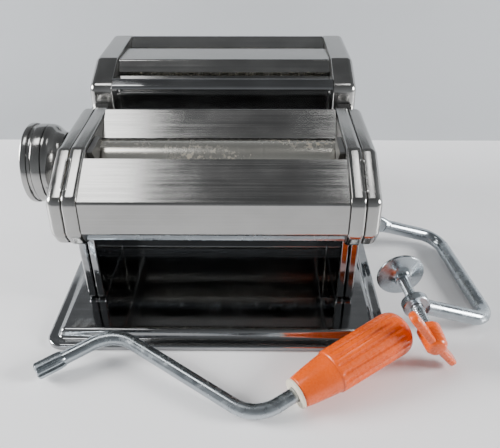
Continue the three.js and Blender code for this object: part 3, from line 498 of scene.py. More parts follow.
# For each metal slot: name, colour setting, shade, roughness range, grain, grain depth, smears.
METALS = {
    "brushed_steel": ("Brushed steel", "steel", 1, (0.13, 0.22), GRAIN_ACROSS, 0.2, 0.05),
    "polished_steel": ("Drawn cheek steel", "steel", 1, (0.1, 0.17), (60, 60, 60), 0.05, 0.08),
    "mirror_steel": ("Mirror steel", "mirror", 1, (0.04, 0.07), (25, 400, 400), 0.06, 0.07),
    "dark_steel": ("Inner steel", "steel", 0.55, (0.3, 0.45), (300, 40, 40), 0.4, 0.1),
    "zinc_plate": ("Zinc plate", "zinc", 1, (0.14, 0.24), (220, 220, 220), 0.15, 0.1),
    "bronze": ("Bearing bronze", "bronze", 1, (0.25, 0.4), GRAIN_ROUND, 0.4, 0.1),
}


def roller_steel(finish):
    """Ground rollers, with dried flour in faint bands and specks."""
    material, tree, shader = start_material("Ground roller steel")
    turning = noise(tree, 1.0, ROLLER_GRAIN, 2.0)
    specks = noise(tree, 420.0, (1, 1, 1), 6.0)
    bands = noise(tree, 20.0, (1.0, 3.0, 3.0), 3.0)
    flour = shader_node(tree, "ShaderNodeMath", operation="MULTIPLY")
    tree.links.new(spread(tree, specks, 0, 1, 0.52, 0.66), flour.inputs[0])
    tree.links.new(spread(tree, bands, 0, 0.6, 0.5, 0.7), flour.inputs[1])
    amount = flour.outputs["Value"]
    tree.links.new(tinted(tree, amount, finish.roller, finish.flour), shader.inputs["Base Color"])
    tree.links.new(spread(tree, amount, 1.0, 0.15, 0, 1), shader.inputs["Metallic"])
    soft = total(tree, spread(tree, turning, 0.24, 0.27), spread(tree, amount, 0, 0.35, 0, 1))
    tree.links.new(soft, shader.inputs["Roughness"])
    roughen(tree, shader, total(tree, turning, amount), 0.08, 0.02 * MM)
    return material


def moulded_plastic(name, colour, rough, coat):
    """Moulded plastic with faint flow marks and handling scuffs."""
    material, tree, shader = start_material(name)
    flow = noise(tree, 60.0, (1, 1, 1), 3.0)
    scuffs = noise(tree, 500.0, (1, 1, 1), 5.0)
    darker = [c * 0.86 for c in colour]
    tree.links.new(tinted(tree, spread(tree, flow, 0, 1), darker, colour),
                   shader.inputs["Base Color"])
    tree.links.new(spread(tree, scuffs, rough - 0.04, rough + 0.08), shader.inputs["Roughness"])
    shader.inputs["Coat Weight"].default_value = coat
    shader.inputs["Coat Roughness"].default_value = 0.12
    roughen(tree, shader, flow, 0.15, 0.05 * MM)
    return material


def stage_paint(name, colour, rough):
    """Plain paint for the table and the wall."""
    material, tree, shader = start_material(name)
    mottle = noise(tree, 6.0, (1, 1, 1), 2.0)
    darker = [c * 0.97 for c in colour]
    tree.links.new(tinted(tree, spread(tree, mottle, 0, 1), darker, colour),
                   shader.inputs["Base Color"])
    shader.inputs["Roughness"].default_value = rough
    return material


def seen_from_front_only(material):
    """The wall is clear from behind, so that the machine's back can be looked at."""
    tree = material.node_tree
    side = shader_node(tree, "ShaderNodeNewGeometry")
    clear = shader_node(tree, "ShaderNodeBsdfTransparent")
    mix = shader_node(tree, "ShaderNodeMixShader")
    tree.links.new(side.outputs["Backfacing"], mix.inputs["Fac"])
    tree.links.new(tree.nodes["Principled BSDF"].outputs["BSDF"], mix.inputs[1])
    tree.links.new(clear.outputs["BSDF"], mix.inputs[2])
    tree.links.new(mix.outputs["Shader"], tree.nodes["Material Output"].inputs["Surface"])
    return material


made_materials = {}


def finish_for(slot, finish):
    if slot in METALS:
        name, setting, shade, rough, grain, depth, smears = METALS[slot]
        colour = [c * shade for c in getattr(finish, setting)]
        return metal(name, colour, rough, grain, depth, smears)
    if slot == "roller_steel":
        return roller_steel(finish)
    if slot == "orange_plastic":
        return moulded_plastic("Orange plastic", finish.plastic, 0.26, 0.25)
    if slot == "cream_plastic":
        return moulded_plastic("Cream plastic", finish.washer, 0.4, 0.1)
    raise ValueError("no finish for the slot " + slot)


def material_for(slot):
    """The finish of a material slot, made once."""
    if slot not in made_materials:
        made_materials[slot] = finish_for(slot, bpy.context.scene.pasta_finish)
    return made_materials[slot]


# ---- Base and legs


TRAY_CORNER = 10 * MM
SMALLEST_CORNER = 1.5 * MM


def slab_ring(distance, height):
    """The base's outline moved inwards, at a height."""
    x0, x1 = TRAY_LOW.x + distance, TRAY_HIGH.x - distance
    y0, y1 = TRAY_LOW.y + distance, TRAY_HIGH.y - distance
    corner = max(TRAY_CORNER - distance, SMALLEST_CORNER)
    corners = [(x0, y0), (x1, y0), (x1, y1), (x0, y1)]
    return [Vector((p.x, p.y, height)) for p in fillet(corners, corner, steps=10)]


def tray_shape():
    """A pressed tray: a rolled rim, a ledge, a raised step and a flat top."""
    top = TRAY_HIGH.z / MM
    over = [
        (14, top - 0.02), (11.2, top), (9.9, 8.85), (8.9, 8.2), (8.3, 7), (7.9, 5.6), (7.4, 4.6),
        (6.6, 3.9), (5.6, 3.7), (4.2, 3.75), (1.9, 4), (1, 3.9), (0.3, 3.4), (0.02, 2.6),
        (0.02, 0.9), (0.25, 0.25), (0.9, 0.02), (5, 0.02),
    ]
    under = [
        (5, 1), (1.2, 1), (1.6, 2.8), (5.6, 2.6), (8, 3), (9, 5), (9.6, 7), (11, top - 1.2),
        (14, top - 1),
    ]
    return solid_from_rings([slab_ring(d * MM, z * MM) for d, z in over + under])


def leg_half(x0, x1, low, high):
    """One half of a folded leg, with rounded edges."""
    corners = [(low.y, low.z), (high.y, low.z), (high.y, high.z), (low.y, high.z)]
    outline = fillet([Vector(c) for c in corners], 3 * MM, steps=6)
    rings = []
    edge = 1.6 * MM
    shares = (1.0, 0.55, 0.2, 0.0)
    stations = [(x0 + edge * (1 - share), share) for share in shares]
    stations += [(x1 - edge * (1 - share), share) for share in reversed(shares)]
    for x, share in stations:
        depth = edge * (1 - math.sqrt(max(0.0, 1 - share * share)))
        rings.append([Vector((x, p.x, p.y)) for p in inset(outline, depth)])
    return solid_from_rings(rings)


# ---- Cheeks


CHEEK_CORNER = 7 * MM
DRAWN_EDGE = 4.5 * MM
GAUGE = 1 * MM
CAP_STEP = 0.7 * MM
CAP_HOLE = 8.2 * MM
CASE_HOLE = 7.8 * MM
FRONT_PLATE_BEND = 3.2 * MM


def body_outline():
    """The body's side outline in (y, z), anticlockwise from the floor's front."""
    low, high = RIM_LOW, RIM_HIGH
    corners = [
        (low.y + 14.5 * MM, low.z), (high.y - 9 * MM, low.z), (high.y, low.z + 8 * MM),
        (high.y, high.z), (low.y + 34 * MM, high.z), (low.y + 1.5 * MM, AXIS_Z + 5.1 * MM),
        (low.y, AXIS_Z - 17.4 * MM), (low.y + 6 * MM, low.z + 2.5 * MM),
    ]
    return fillet([Vector(c) for c in corners], CHEEK_CORNER, steps=8)


def case_outline():
    """The cutter unit's side outline in (y, z)."""
    low, high = CASE_LOW, CASE_HIGH
    corners = [
        (low.y + 10 * MM, low.z), (high.y - 12 * MM, low.z), (high.y, low.z + 16 * MM),
        (high.y, high.z - 6 * MM), (high.y - 6 * MM, high.z), (low.y + 30 * MM, high.z),
        (low.y + 1.5 * MM, high.z - 11 * MM), (low.y, low.z + 12 * MM),
    ]
    return fillet([Vector(c) for c in corners], CHEEK_CORNER, steps=8)


def cheek_shell(outline, profile, side, wave=None):
    """Rings over an outline. Profile points are (x, inset), in metres; wave shifts a ring's x."""
    rings = []
    for x, distance in profile:
        ring = []
        moved = inset(outline, distance)
        for k, point in enumerate(moved):
            shift = wave(k / len(moved), x) if wave else 0.0
            ring.append(Vector((side * (x + shift), point.x, point.y)))
        rings.append(ring)
    return rings


SEAM_WAVES = 9
SEAM_DEPTH = 0.35 * MM
SEAM_REACH = 4 * MM
SEAM_DRIFT = 37
SEAM_MIDDLE = 1.2
SEAM_SPAN = 2.7


def seam_wave(share, x):
    """The seam between rim and cap wanders a little round the outline."""
    near_seam = max(0.0, 1 - abs(x - RIM_HIGH.x) / SEAM_REACH)
    swing = math.sin(2 * math.pi * SEAM_WAVES * share) + 0.5 * math.sin(SEAM_DRIFT * share + 1)
    return -SEAM_DEPTH * near_seam * (SEAM_MIDDLE + swing) / SEAM_SPAN


def quarter_round(x, distance, radius):
    """Profile points of a rounded outer edge that ends on the flat end face."""
    points = []
    for k in range(ROUND_STEPS + 1):
        angle = math.pi / 2 * k / ROUND_STEPS
        outwards = x - radius + radius * math.sin(angle)
        points.append((outwards, distance + radius * (1 - math.cos(angle))))
    return points


def rim_piece(name, side):
    inner, outer = RIM_LOW.x, RIM_HIGH.x
    profile = [
        (inner + 0.2 * MM, 3.2 * MM), (inner + 0.2 * MM, 1.4 * MM), (inner + 0.5 * MM, 0.5 * MM),
        (inner + 1.3 * MM, 0.02 * MM), (inner + 3 * MM, 0.02 * MM), (outer - 3 * MM, 0.02 * MM),
        (outer - 1.2 * MM, 0.1 * MM), (outer - 0.45 * MM, 0.5 * MM), (outer - 0.1 * MM, 1.3 * MM),
        (outer - 0.1 * MM, 2.2 * MM), (outer - 1.2 * MM, 2.2 * MM), (inner + 1.2 * MM, 3.2 * MM),
    ]
    rings = cheek_shell(body_outline(), profile, side, seam_wave)
    piece("Cheek rim " + name, solid_from_rings(rings, loop=True), "machine", "polished_steel",
          PRESSED_SHARP, ["cheek_rim_" + name], False)


def hole_ring(outline, x, y, z, radius):
    """A round hole's ring with one point for each point of the outline round it."""
    centre = Vector((y, z))
    points = [centre + (point - centre).normalized() * radius for point in outline]
    return [Vector((x, p.x, p.y)) for p in points]


def cap_piece(name, side):
    """The cap is a drawn shell with one round hole, for the knob or for the crank."""
    inner, outer = CAP_LOW.x, CAP_HIGH.x
    outline = body_outline()
    round_edge = quarter_round(outer - SKIN * MM, CAP_STEP, DRAWN_EDGE)
    profile = [(x - GAUGE, distance + GAUGE) for x, distance in reversed(round_edge)]
    profile += [
        (inner + 1 * MM, 1.8 * MM), (inner + 0.1 * MM, 1.8 * MM), (inner + 0.1 * MM, 1.2 * MM),
        (inner + 0.5 * MM, 0.75 * MM), (inner + 1.3 * MM, CAP_STEP),
    ]
    profile += round_edge
    hole_y = KNOB_Y if side < 0 else DRIVE_Y
    hole = [
        hole_ring(outline, side * x, hole_y, AXIS_Z, radius)
        for x, radius in ((outer - SKIN * MM, CAP_HOLE + 0.4 * MM), (outer - 0.2 * MM, CAP_HOLE),
                          (outer - GAUGE, CAP_HOLE))
    ]
    rings = cheek_shell(outline, profile, side, seam_wave) + hole
    piece("Cheek cap " + name, solid_from_rings(rings, loop=True), "machine", "polished_steel",
          SHEET_SHARP, ["cheek_cap_" + name], False)


TAB_RISE = 0.05 * MM
TAB_WIRE = 0.42 * MM


def tab_frames(name, side):
    """A locking tab on the cheek's slanted front, seen as a raised frame."""
    x = side * (RIM_HIGH.x - 0.9 * MM)
    top = Vector((x, RIM_LOW.y + 27 * MM, RIM_HIGH.z - 3.6 * MM))
    foot = Vector((x, RIM_LOW.y + 8 * MM, AXIS_Z + 8.4 * MM))
    along = (foot - top).normalized()
    across = Vector((1, 0, 0))
    out = across.cross(along)
    out = out if out.z > 0 else -out
    half = 1.5 * MM
    line = []
    steps = 10
    for centre, start in ((top + along * half, 0.0), (foot - along * half, math.pi)):
        for k in range(steps + 1):
            angle = start + math.pi * k / steps
            line.append(centre + across * half * math.cos(angle) - along * half * math.sin(angle))
    line = [p + out * TAB_RISE for p in line]
    rings = []
    for i, point in enumerate(line):
        tangent = (line[(i + 1) % len(line)] - line[i - 1]).normalized()
        sideways = tangent.cross(out).normalized()
        rings.append([
            point + (sideways * math.cos(a) + out * math.sin(a)) * TAB_WIRE
            for a in around(steps)
        ])
    piece("Locking tab " + name, solid_from_rings(rings, loop=True), "machine", "polished_steel")


# ---- Rollers


def barrel_profile(left, right, journal):
    """A smooth roller between two journals, up to its right end's rim."""
    radius = ROLLER_RADIUS / MM
    rim = radius - SKIN
    end = BODY_INNER / MM - ROLLER_END_GAP
    return [
        (left, 0), (left, journal - CHAMFER), (left + CHAMFER, journal), (-end, journal),
        (-end, radius - CHAMFER), (-end + CHAMFER, rim), (end - CHAMFER, rim),
        (end, radius - CHAMFER), (end, journal), (right - CHAMFER, journal),
        (right, journal - CHAMFER),
    ]


def disc_profile(left, right, journal_left, journal_right, first, pitch, width, root, tip, socket):
    """A grooved shaft: discs at an even pitch, with rounded disc edges."""
    profile = [(left, 0.0), (left, journal_left - CHAMFER), (left + CHAMFER, journal_left)]
    start, end = -BODY_INNER / MM + 1, BODY_INNER / MM - 1
    profile += [(start - 1.5, journal_left), (start - 1.5, root)]
    x = first
    while x + width < end:
        profile += [(x, root), (x, tip - 0.25), (x + 0.25, tip),
                    (x + width - 0.25, tip), (x + width, tip - 0.25), (x + width, root)]
        x += pitch
    profile += [(end + 1.5, root), (end + 1.5, journal_right), (right - CHAMFER, journal_right),
                (right, journal_right - CHAMFER)]
    if socket:
        depth = CUTTER_SOCKET_DEPTH
        profile += [(right, CRANK_SOCKET), (right - depth, CRANK_SOCKET), (right - depth, 0.0)]
    else:
        profile += [(right, 0.0)]
    return profile


def cutter_shaft(node, body, first, pitch, width, root, tip, socket, steps):
    low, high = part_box(node)
    y = (low.y + high.y) / 2
    z = (low.z + high.z) / 2
    journal_right = SOCKET_JOURNAL if socket else JOURNAL
    profile = disc_profile(low.x / MM, high.x / MM, JOURNAL, journal_right, first, pitch, width,
                           root, tip, socket)
    piece(node.replace("_", " ").capitalize(), turned(profile, y, z, steps), body, "roller_steel",
          ROLLER_SHARP, [node])


# ---- Operators


class PASTA_OT_base(bpy.types.Operator):
    """Build the pressed base tray, the legs and the back wall"""

    bl_idname = "pasta.base"
    bl_label = "Base and legs"

    def execute(self, context):
        sizes = context.scene.pasta_sizes
        piece("Base tray", tray_shape(), "machine", "mirror_steel", PRESSED_SHARP, ["base_tray"])
        for name, _ in SIDES:
            low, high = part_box("leg_" + name)
            middle = (low.x + high.x) / 2
            halves = [
                leg_half(low.x, middle - 0.02 * MM, low, high),
                leg_half(middle + 0.02 * MM, high.x, low, high),
            ]
            piece("Leg " + name, halves, "machine", "mirror_steel", PRESSED_SHARP,
                  ["leg_" + name])
        low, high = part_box("back_wall")
        line = [(low.y, low.z), (high.y, low.z), (high.y, high.z)]
        sheet_piece("Back wall", line, low.x, high.x, sizes.sheet, sizes.bend, "machine",
                    "mirror_steel")
        return {"FINISHED"}


class PASTA_OT_cheeks(bpy.types.Operator):
    """Build the body's drawn side cheeks, each one a rim and a cap"""

    bl_idname = "pasta.cheeks"
    bl_label = "Cheeks"

    def execute(self, context):
        for name, side in SIDES:
            rim_piece(name, side)
            cap_piece(name, side)
            tab_frames(name, side)
        return {"FINISHED"}


class PASTA_OT_covers(bpy.types.Operator):
    """Build the body's folded front cover, hopper plate and rear cover"""

    bl_idname = "pasta.covers"
    bl_label = "Covers"

    def execute(self, context):
        sizes = context.scene.pasta_sizes
        x0, x1 = COVER_LOW.x, COVER_HIGH.x
        low, high = COVER_LOW, COVER_HIGH
        front = [
            (high.y, high.z), (low.y + 1.3 * MM, AXIS_Z + 4.5 * MM),
            (low.y, low.z + 0.4 * MM), (low.y + 6 * MM, low.z),
        ]
        sheet_piece("Front cover", front, x0, x1, sizes.sheet, sizes.bend, "machine",
                    "brushed_steel")
        low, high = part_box("hopper_plate")
        hopper = [
            (high.y, high.z - 5.1 * MM), (high.y - 3.5 * MM, high.z),
            (low.y + SKIN * MM, low.z + 0.8 * MM),
        ]
        sheet_piece("Hopper plate", hopper, x0, x1, sizes.sheet, sizes.bend / 2, "machine",
                    "brushed_steel")
        low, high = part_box("rear_cover")
        rear = [
            (high.y - 9.5 * MM, high.z), (high.y, high.z), (high.y, low.z + 5 * MM),
            (high.y - 8 * MM, low.z + 0.5 * MM),
        ]
        sheet_piece("Rear cover", rear[::-1], x0, x1, sizes.sheet, sizes.bend, "machine",
                    "brushed_steel")
        return {"FINISHED"}


class PASTA_OT_rollers(bpy.types.Operator):
    """Build the two smooth rollers"""

    bl_idname = "pasta.rollers"
    bl_label = "Smooth rollers"

    def execute(self, context):
        left, right = DRIVE_LOW.x / MM, DRIVE_HIGH.x / MM
        floor = right - ROLLER_SOCKET_DEPTH
        drive = barrel_profile(left, right, SOCKET_JOURNAL)
        drive += [(right, CRANK_SOCKET), (floor, CRANK_SOCKET), (floor, 0)]
        piece("Drive roller", turned(drive, DRIVE_Y, AXIS_Z, ROLLER_STEPS), "drive_roller",
              "roller_steel", ROLLER_SHARP, ["drive_roller"])
        left, right = IDLE_LOW.x / MM, IDLE_HIGH.x / MM
        idle = barrel_profile(left, right, JOURNAL) + [(right, 0)]
        piece("Adjustable roller", turned(idle, IDLE_Y, AXIS_Z, ROLLER_STEPS), "adjust_roller",
              "roller_steel", ROLLER_SHARP, ["adjust_roller"])
        return {"FINISHED"}


class PASTA_OT_knob(bpy.types.Operator):
    """Build the thickness knob and its dial ring"""

    bl_idname = "pasta.knob"
    bl_label = "Thickness knob"

    def execute(self, context):
        face = -KNOB_LOW.x / MM
        inner = -KNOB_HIGH.x / MM
        radius = KNOB_RADIUS / MM - SKIN
        start = -DIAL_LOW.x / MM + 0.3
        body = [
            (face - 0.6, 0), (face - 0.5, radius - 5), (face - 0.05, radius - 3.2),
            (face - 0.02, radius - 1.2), (face - 0.4, radius - 0.35), (face - 1.1, radius),
            (face - 3.2, radius), (face - 3.7, radius - 0.3), (face - 4, radius - 1.3),
            (face - 4.6, radius - 1.6), (face - 5.6, radius - 1.5), (face - 6.2, radius - 0.8),
            (face - 6.9, radius - 0.45), (start + 0.6, radius - 0.5), (start, radius - 0.9),
            (start, radius - 3), (face - 2, radius - 3), (face - 2, 8), (inner, 8), (inner, 5.3),
            (face - 4, 5.3), (face - 4, 0),
        ]
        piece("Knob", turned(body, KNOB_Y, AXIS_Z, KNOB_STEPS, -1), "thickness_knob",
              "polished_steel", KNOB_SHARP, ["knob_body"])
        x0, x1 = -DIAL_HIGH.x / MM, -DIAL_LOW.x / MM
        outer = (DIAL_HIGH.z - DIAL_LOW.z) / 2 / MM - SKIN
        dial = [
            (x0, 17.6), (x0, 18.9), (x0 + 0.5, 19.4), (x0 + 2.6, 19.8), (x0 + 4.4, 21.4),
            (x0 + 6.2, 23.1), (x0 + 7.6, outer - 0.5), (x0 + 9.2, outer), (x1 - 0.5, outer),
            (x1, outer - 0.5), (x1, 22), (x1 - 4, 21.8), (x0 + 2, 18), (x0 + 1, 17.6),
        ]
        ring = turned(dial, KNOB_Y, AXIS_Z, KNOB_STEPS, -1, loop=True)
        piece("Knob dial ring", ring, "thickness_knob", "polished_steel", KNOB_SHARP,
              ["knob_dial"])
        return {"FINISHED"}


class PASTA_OT_cutter_case(bpy.types.Operator):
    """Build the cutter unit's cheeks and folded plates"""

    bl_idname = "pasta.cutter_case"
    bl_label = "Cutter case"

    def execute(self, context):
        sizes = context.scene.pasta_sizes
        for name, side in SIDES:
            self.cheek(name, side)
        self.plates(sizes)
        return {"FINISHED"}

    def cheek(self, name, side):
        inner, outer = CASE_LOW.x, CASE_HIGH.x
        edge = quarter_round(outer - SKIN * MM, SKIN * MM, DRAWN_EDGE)
        profile = [(x - GAUGE, distance + GAUGE) for x, distance in reversed(edge)]
        profile += [
            (inner + GAUGE, GAUGE + SKIN * MM), (inner + 0.1 * MM, GAUGE + SKIN * MM),
            (inner + 0.1 * MM, 0.4 * MM), (inner + 0.4 * MM, 0.05 * MM),
        ]
        profile += edge
        rings = cheek_shell(case_outline(), profile, side)
        made = piece("Cutter cheek " + name, solid_from_rings(rings), "cutter_unit",
                     "polished_steel", SHEET_SHARP, ["cutter_cheek_" + name], False)
        if side > 0:
            for node in ("wide_cutter_front", "narrow_cutter_front"):
                low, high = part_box(node)
                y, z = (low.y + high.y) / 2, (low.z + high.z) / 2
                reach = [(outer / MM - 6, CASE_HOLE / MM), (outer / MM + 2, CASE_HOLE / MM)]
                pierce(made, turned(reach, y, z, 48, side))

    def plates(self, sizes):
        low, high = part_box("cutter_front_plate")
        front = [
            (high.y, high.z - 2 * MM), (low.y + 6 * MM, high.z), (low.y, high.z - 3.8 * MM),
            (low.y, low.z + 3 * MM), (low.y + 6 * MM, low.z),
        ]
        sheet_piece("Cutter front plate", front, low.x, high.x, sizes.sheet, FRONT_PLATE_BEND,
                    "cutter_unit", "mirror_steel")
        low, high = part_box("cutter_roof")
        roof = [
            (high.y, high.z - 5.2 * MM), (high.y - 5 * MM, high.z - 1.2 * MM),
            (low.y + 6 * MM, high.z), (low.y, high.z - 7.2 * MM),
        ]
        sheet_piece("Cutter roof", roof, low.x, high.x, sizes.sheet, sizes.bend, "cutter_unit",
                    "brushed_steel")
        low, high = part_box("cutter_rear_plate")
        rear = [
            (high.y - 7 * MM, low.z), (high.y, low.z + 8 * MM), (high.y, high.z - 2.7 * MM),
            (high.y - 4 * MM, high.z), (low.y, high.z - 5.2 * MM),
        ]
        sheet_piece("Cutter rear plate", rear, low.x, high.x, sizes.sheet, sizes.bend,
                    "cutter_unit", "brushed_steel")


class PASTA_OT_cutter_rollers(bpy.types.Operator):
    """Build the wide and the narrow cutting rollers"""

    bl_idname = "pasta.cutter_rollers"
    bl_label = "Cutter rollers"

    def execute(self, context):
        sizes = context.scene.pasta_sizes
        start = -BODY_INNER / MM + 1.6
        wide_pitch, wide_disc, wide_root, wide_tip = 12.8, 5.8, 8.4, 10.95
        narrow_root, narrow_tip, side_play = 8.9, 10.55, 0.2
        strand = sizes.strand / MM
        for index, end in enumerate(("front", "rear")):
            first = start + index * wide_pitch / 2
            cutter_shaft("wide_cutter_" + end, "wide_" + end, first, wide_pitch, wide_disc,
                         wide_root, wide_tip, end == "front", WIDE_STEPS)
        for index, end in enumerate(("front", "rear")):
            first = start + index * strand
            cutter_shaft("narrow_cutter_" + end, "narrow_" + end, first, 2 * strand,
                         strand - side_play, narrow_root, narrow_tip, end == "front", NARROW_STEPS)
        return {"FINISHED"}


class PASTA_OT_crank(bpy.types.Operator):
    """Build the loose crank with its splined tip and turning grip"""

    bl_idname = "pasta.crank"
    bl_label = "Crank"

    def execute(self, context):
        place = loose_matrix(CRANK_PLACE, CRANK_TURN)
        self.rod(place)
        self.grip(place, context.scene.pasta_sizes.flutes)
        return {"FINISHED"}

    def rod(self, place):
        rake, throw, shaft, spindle = 41.6, 93.6, 48.8, 92
        radius, bend, spline_length, overlap = 4.2, 21.8, 17.5, 16
        start = -rake - shaft + overlap
        corners = [(start, throw, 0), (-rake, throw, 0), (0, 0, 0), (spindle, 0, 0)]
        line = rod_line([Vector(c) * MM for c in corners], bend * MM)
        line = [place @ p for p in line]
        spline = self.spline(place, -rake - shaft - 0.4, spline_length, throw)
        piece("Crank rod", [tube(line, radius * MM), spline], "crank", "zinc_plate", PLAIN_SHARP,
              ["crank_rod"])

    def spline(self, place, tip, length, throw):
        """The tip is pressed into eight ribs."""
        ribs, points_each, middle, rib_height = 8, 8, 4.45, 0.72
        stations = (
            (0, 0.72), (0.8, 0.96), (1.6, 1.0),
            (length - 4, 1.0), (length - 1.5, 0.93), (length, 0.8),
        )
        rings = []
        for along, size in stations:
            ring = []
            for angle in around(ribs * points_each):
                rib = math.cos(ribs * angle)
                radius = (middle + rib_height * max(-1.0, min(1.0, 1.8 * rib))) * size
                y, z = throw + radius * math.cos(angle), radius * math.sin(angle)
                ring.append(placed(place, tip + along, y, z))
            rings.append(ring)
        return solid_from_rings(rings)

    def grip(self, place, flutes):
        steps = flutes * 8
        rings = []
        for x, radius, depth in self.grip_profile():
            ring = []
            for angle in around(steps):
                groove = max(0.0, math.cos(flutes * angle)) ** 0.6
                size = max(radius - depth * groove, SMALLEST_RADIUS)
                ring.append(placed(place, x, size * math.cos(angle), size * math.sin(angle)))
            rings.append(ring)
        piece("Grip", solid_from_rings(rings), "grip", "orange_plastic", GRIP_SHARP, ["grip"])
        x1 = 27.2
        washer = [(x1 - 1.7, 4.5), (x1 - 1.7, 8.4), (x1 - 1.4, 8.8), (x1 - 0.3, 8.88),
                  (x1, 8.5), (x1, 4.5)]
        shape = self.on_crank(washer, place)
        piece("Grip washer", shape, "crank", "cream_plastic", SHEET_SHARP, ["grip_washer"])

    def grip_profile(self):
        """Points of (x, radius, flute depth) from the washer end to the dome's tip."""
        points = [(27.5, 4.55, 0), (27.5, 8.3, 0), (28, 8.9, 0), (29, 9.1, 0)]
        points += [(29 + 21 * k / 10, 9.1 + 3.0 * (k / 10) ** 0.85, 0) for k in range(1, 11)]
        points += [(50.3, 12.5, 0), (50.9, 12.75, 0.05), (52, 12.8, 0.5), (54, 12.85, 0.75)]
        points += [(54 + 40 * k / 8, 12.85 + 0.5 * k / 8, 0.75) for k in range(1, 9)]
        points += [(95.5, 13.3, 0.65), (97, 13.1, 0.3), (98, 12.8, 0.05)]
        points += [(98 + 6.95 * math.sin(a), 12.6 * math.cos(a), 0)
                   for a in (math.pi / 2 * k / 8 for k in range(1, 9))]
        return [(x, max(radius, SMALLEST_RADIUS), depth) for x, radius, depth in points]

    def on_crank(self, profile, place):
        rings = []
        for x, radius in profile:
            rings.append([
                placed(place, x, radius * math.cos(a), radius * math.sin(a))
                for a in around(WASHER_STEPS)
            ])
        return solid_from_rings(rings, loop=True)


class PASTA_OT_clamp(bpy.types.Operator):
    """Build the loose table clamp: bar, pad, screw and wing"""

    bl_idname = "pasta.clamp"
    bl_label = "Clamp"

    # Sizes in millimetres in the clamp's own space.
    back = 92.1
    arm = 47.7
    droop = 2.3
    throat = 55.7
    bend = 13
    rod_radius = 4.8

    def execute(self, context):
        place = loose_matrix(CLAMP_PLACE, CLAMP_TURN)
        piece("Clamp bar", self.bar(place), "clamp", "zinc_plate", SHEET_SHARP, ["clamp_bar"])
        piece("Clamp screw", self.screw(place), "clamp_screw", "zinc_plate", PRESSED_SHARP,
              ["clamp_screw"])
        piece("Clamp pad", self.pad(place), "clamp_pad", "zinc_plate", PLAIN_SHARP, ["clamp_pad"])
        wing = piece("Clamp wing", self.wing(place), "clamp_screw", "orange_plastic", SHEET_SHARP,
                     ["clamp_wing"])
        soften(wing, context.scene.pasta_sizes.edge)
        return {"FINISHED"}

    def bar(self, place):
        """A bent rod whose upper end is flattened into a tongue, with an eye at the lower end."""
        upper = self.back - self.droop
        corners = [(-self.throat + 7.5, 0, 0), (0, 0, 0), (0, self.back, 0), (-self.arm, upper, 0)]
        line = rod_line([Vector(c) * MM for c in corners], self.bend * MM)
        rod = tube([place @ p for p in line], self.rod_radius * MM)
        stations = (
            (-4, 4.8, 4.8), (-1, 5.4, 4), (2, 6.1, 2.9),
            (5, 6.4, 2.5), (13, 6.4, 2.5), (14, 5.9, 2.1),
        )
        rings = []
        for along, wide, thick in stations:
            ring = []
            for angle in around(TONGUE_STEPS):
                square = 0.5 if along > 0 else 1.0
                c = math.copysign(abs(math.cos(angle)) ** square, math.cos(angle))
                s = math.copysign(abs(math.sin(angle)) ** square, math.sin(angle))
                ring.append(placed(place, -self.arm - along, upper + thick * c, wide * s))
            rings.append(ring)
        tongue = solid_from_rings(rings)
        bore, outer, half = 3.85, 8.4, 2.9
        profile = [
            (-half, bore), (-half, outer - 0.5), (-half + 0.5, outer),
            (half - 0.5, outer), (half, outer - 0.5), (half, bore),
        ]
        eye = turned_on_y(profile, place, -self.throat, 56, loop=True)
        return [rod, tongue, eye]

    def screw(self, place):
        """A screw whose thread is a real helix."""
        pitch, low, high = 1.75, -27.0, 26.3
        root, thread_height = 3.05, 0.42
        steps, per_turn = 24, 8
        count = int((high - low) / pitch * per_turn)
        rings = []
        for r in range(count + 1):
            y = low + (high - low) * r / count
            ring = []
            for k, angle in enumerate(around(steps)):
                phase = (y / pitch + k / steps) % 1.0
                radius = root + thread_height * (1 - abs(2 * phase - 1))
                x, z = -self.throat + radius * math.cos(angle), radius * math.sin(angle)
                ring.append(placed(place, x, y, z))
            rings.append(ring)
        return solid_from_rings(rings)

    def pad(self, place):
        face = 26.7
        profile = [
            (face - 5, 3.9), (face - 5, 4.9), (face - 4.6, 5.4), (face - 2.4, 5.5),
            (face - 1.2, 6.6), (face - 0.2, 9), (face + 0.7, 12), (face + 1.5, 15.2),
            (face + 2, 15.6), (face + 2.7, 15.68), (face + 3, 15.4), (face + 2.9, 14.9),
            (face + 2.2, 12), (face + 1.5, 8.5), (face + 1.3, 5), (face + 1.3, 0), (face, 0),
            (face, 3.9),
        ]
        return turned_on_y(profile, place, -self.throat, 96)

    def wing(self, place):
        """A two-eared wing on a hub."""
        centre, span, ear_corner = 28.6, 26, 4.2
        hub = [(-centre - 8.9, 0), (-centre - 8.9, 4), (-centre - 8.2, 5.2), (-centre - 6.5, 6.3),
               (-centre, 6.8), (-centre + 6.6, 7.1), (-centre + 6.95, 6.7), (-centre + 6.95, 0)]
        outline = fillet([Vector(c) for c in (
            (-span, -centre - 4.9), (-6, -centre - 7.8), (6, -centre - 7.8), (span, -centre - 4.9),
            (span, -centre + 3.9), (9, -centre + 2.4), (-9, -centre + 2.4), (-span, -centre + 3.9),
        )], ear_corner, steps=6)
        turn = Matrix.Rotation(math.radians(32), 4, "Y")
        sections = ((-2.2, 1.0), (-1.6, 0.25), (-1.0, 0), (1.0, 0), (1.6, 0.25), (2.2, 1.0))
        rings = []
        for z, distance in sections:
            ring = []
            for p in inset(outline, distance):
                local = turn @ Vector((p.x, p.y, z))
                ring.append(place @ ((local + Vector((-self.throat, 0, 0))) * MM))
            rings.append(ring)
        return [turned_on_y(hub, place, -self.throat, 64), solid_from_rings(rings)]


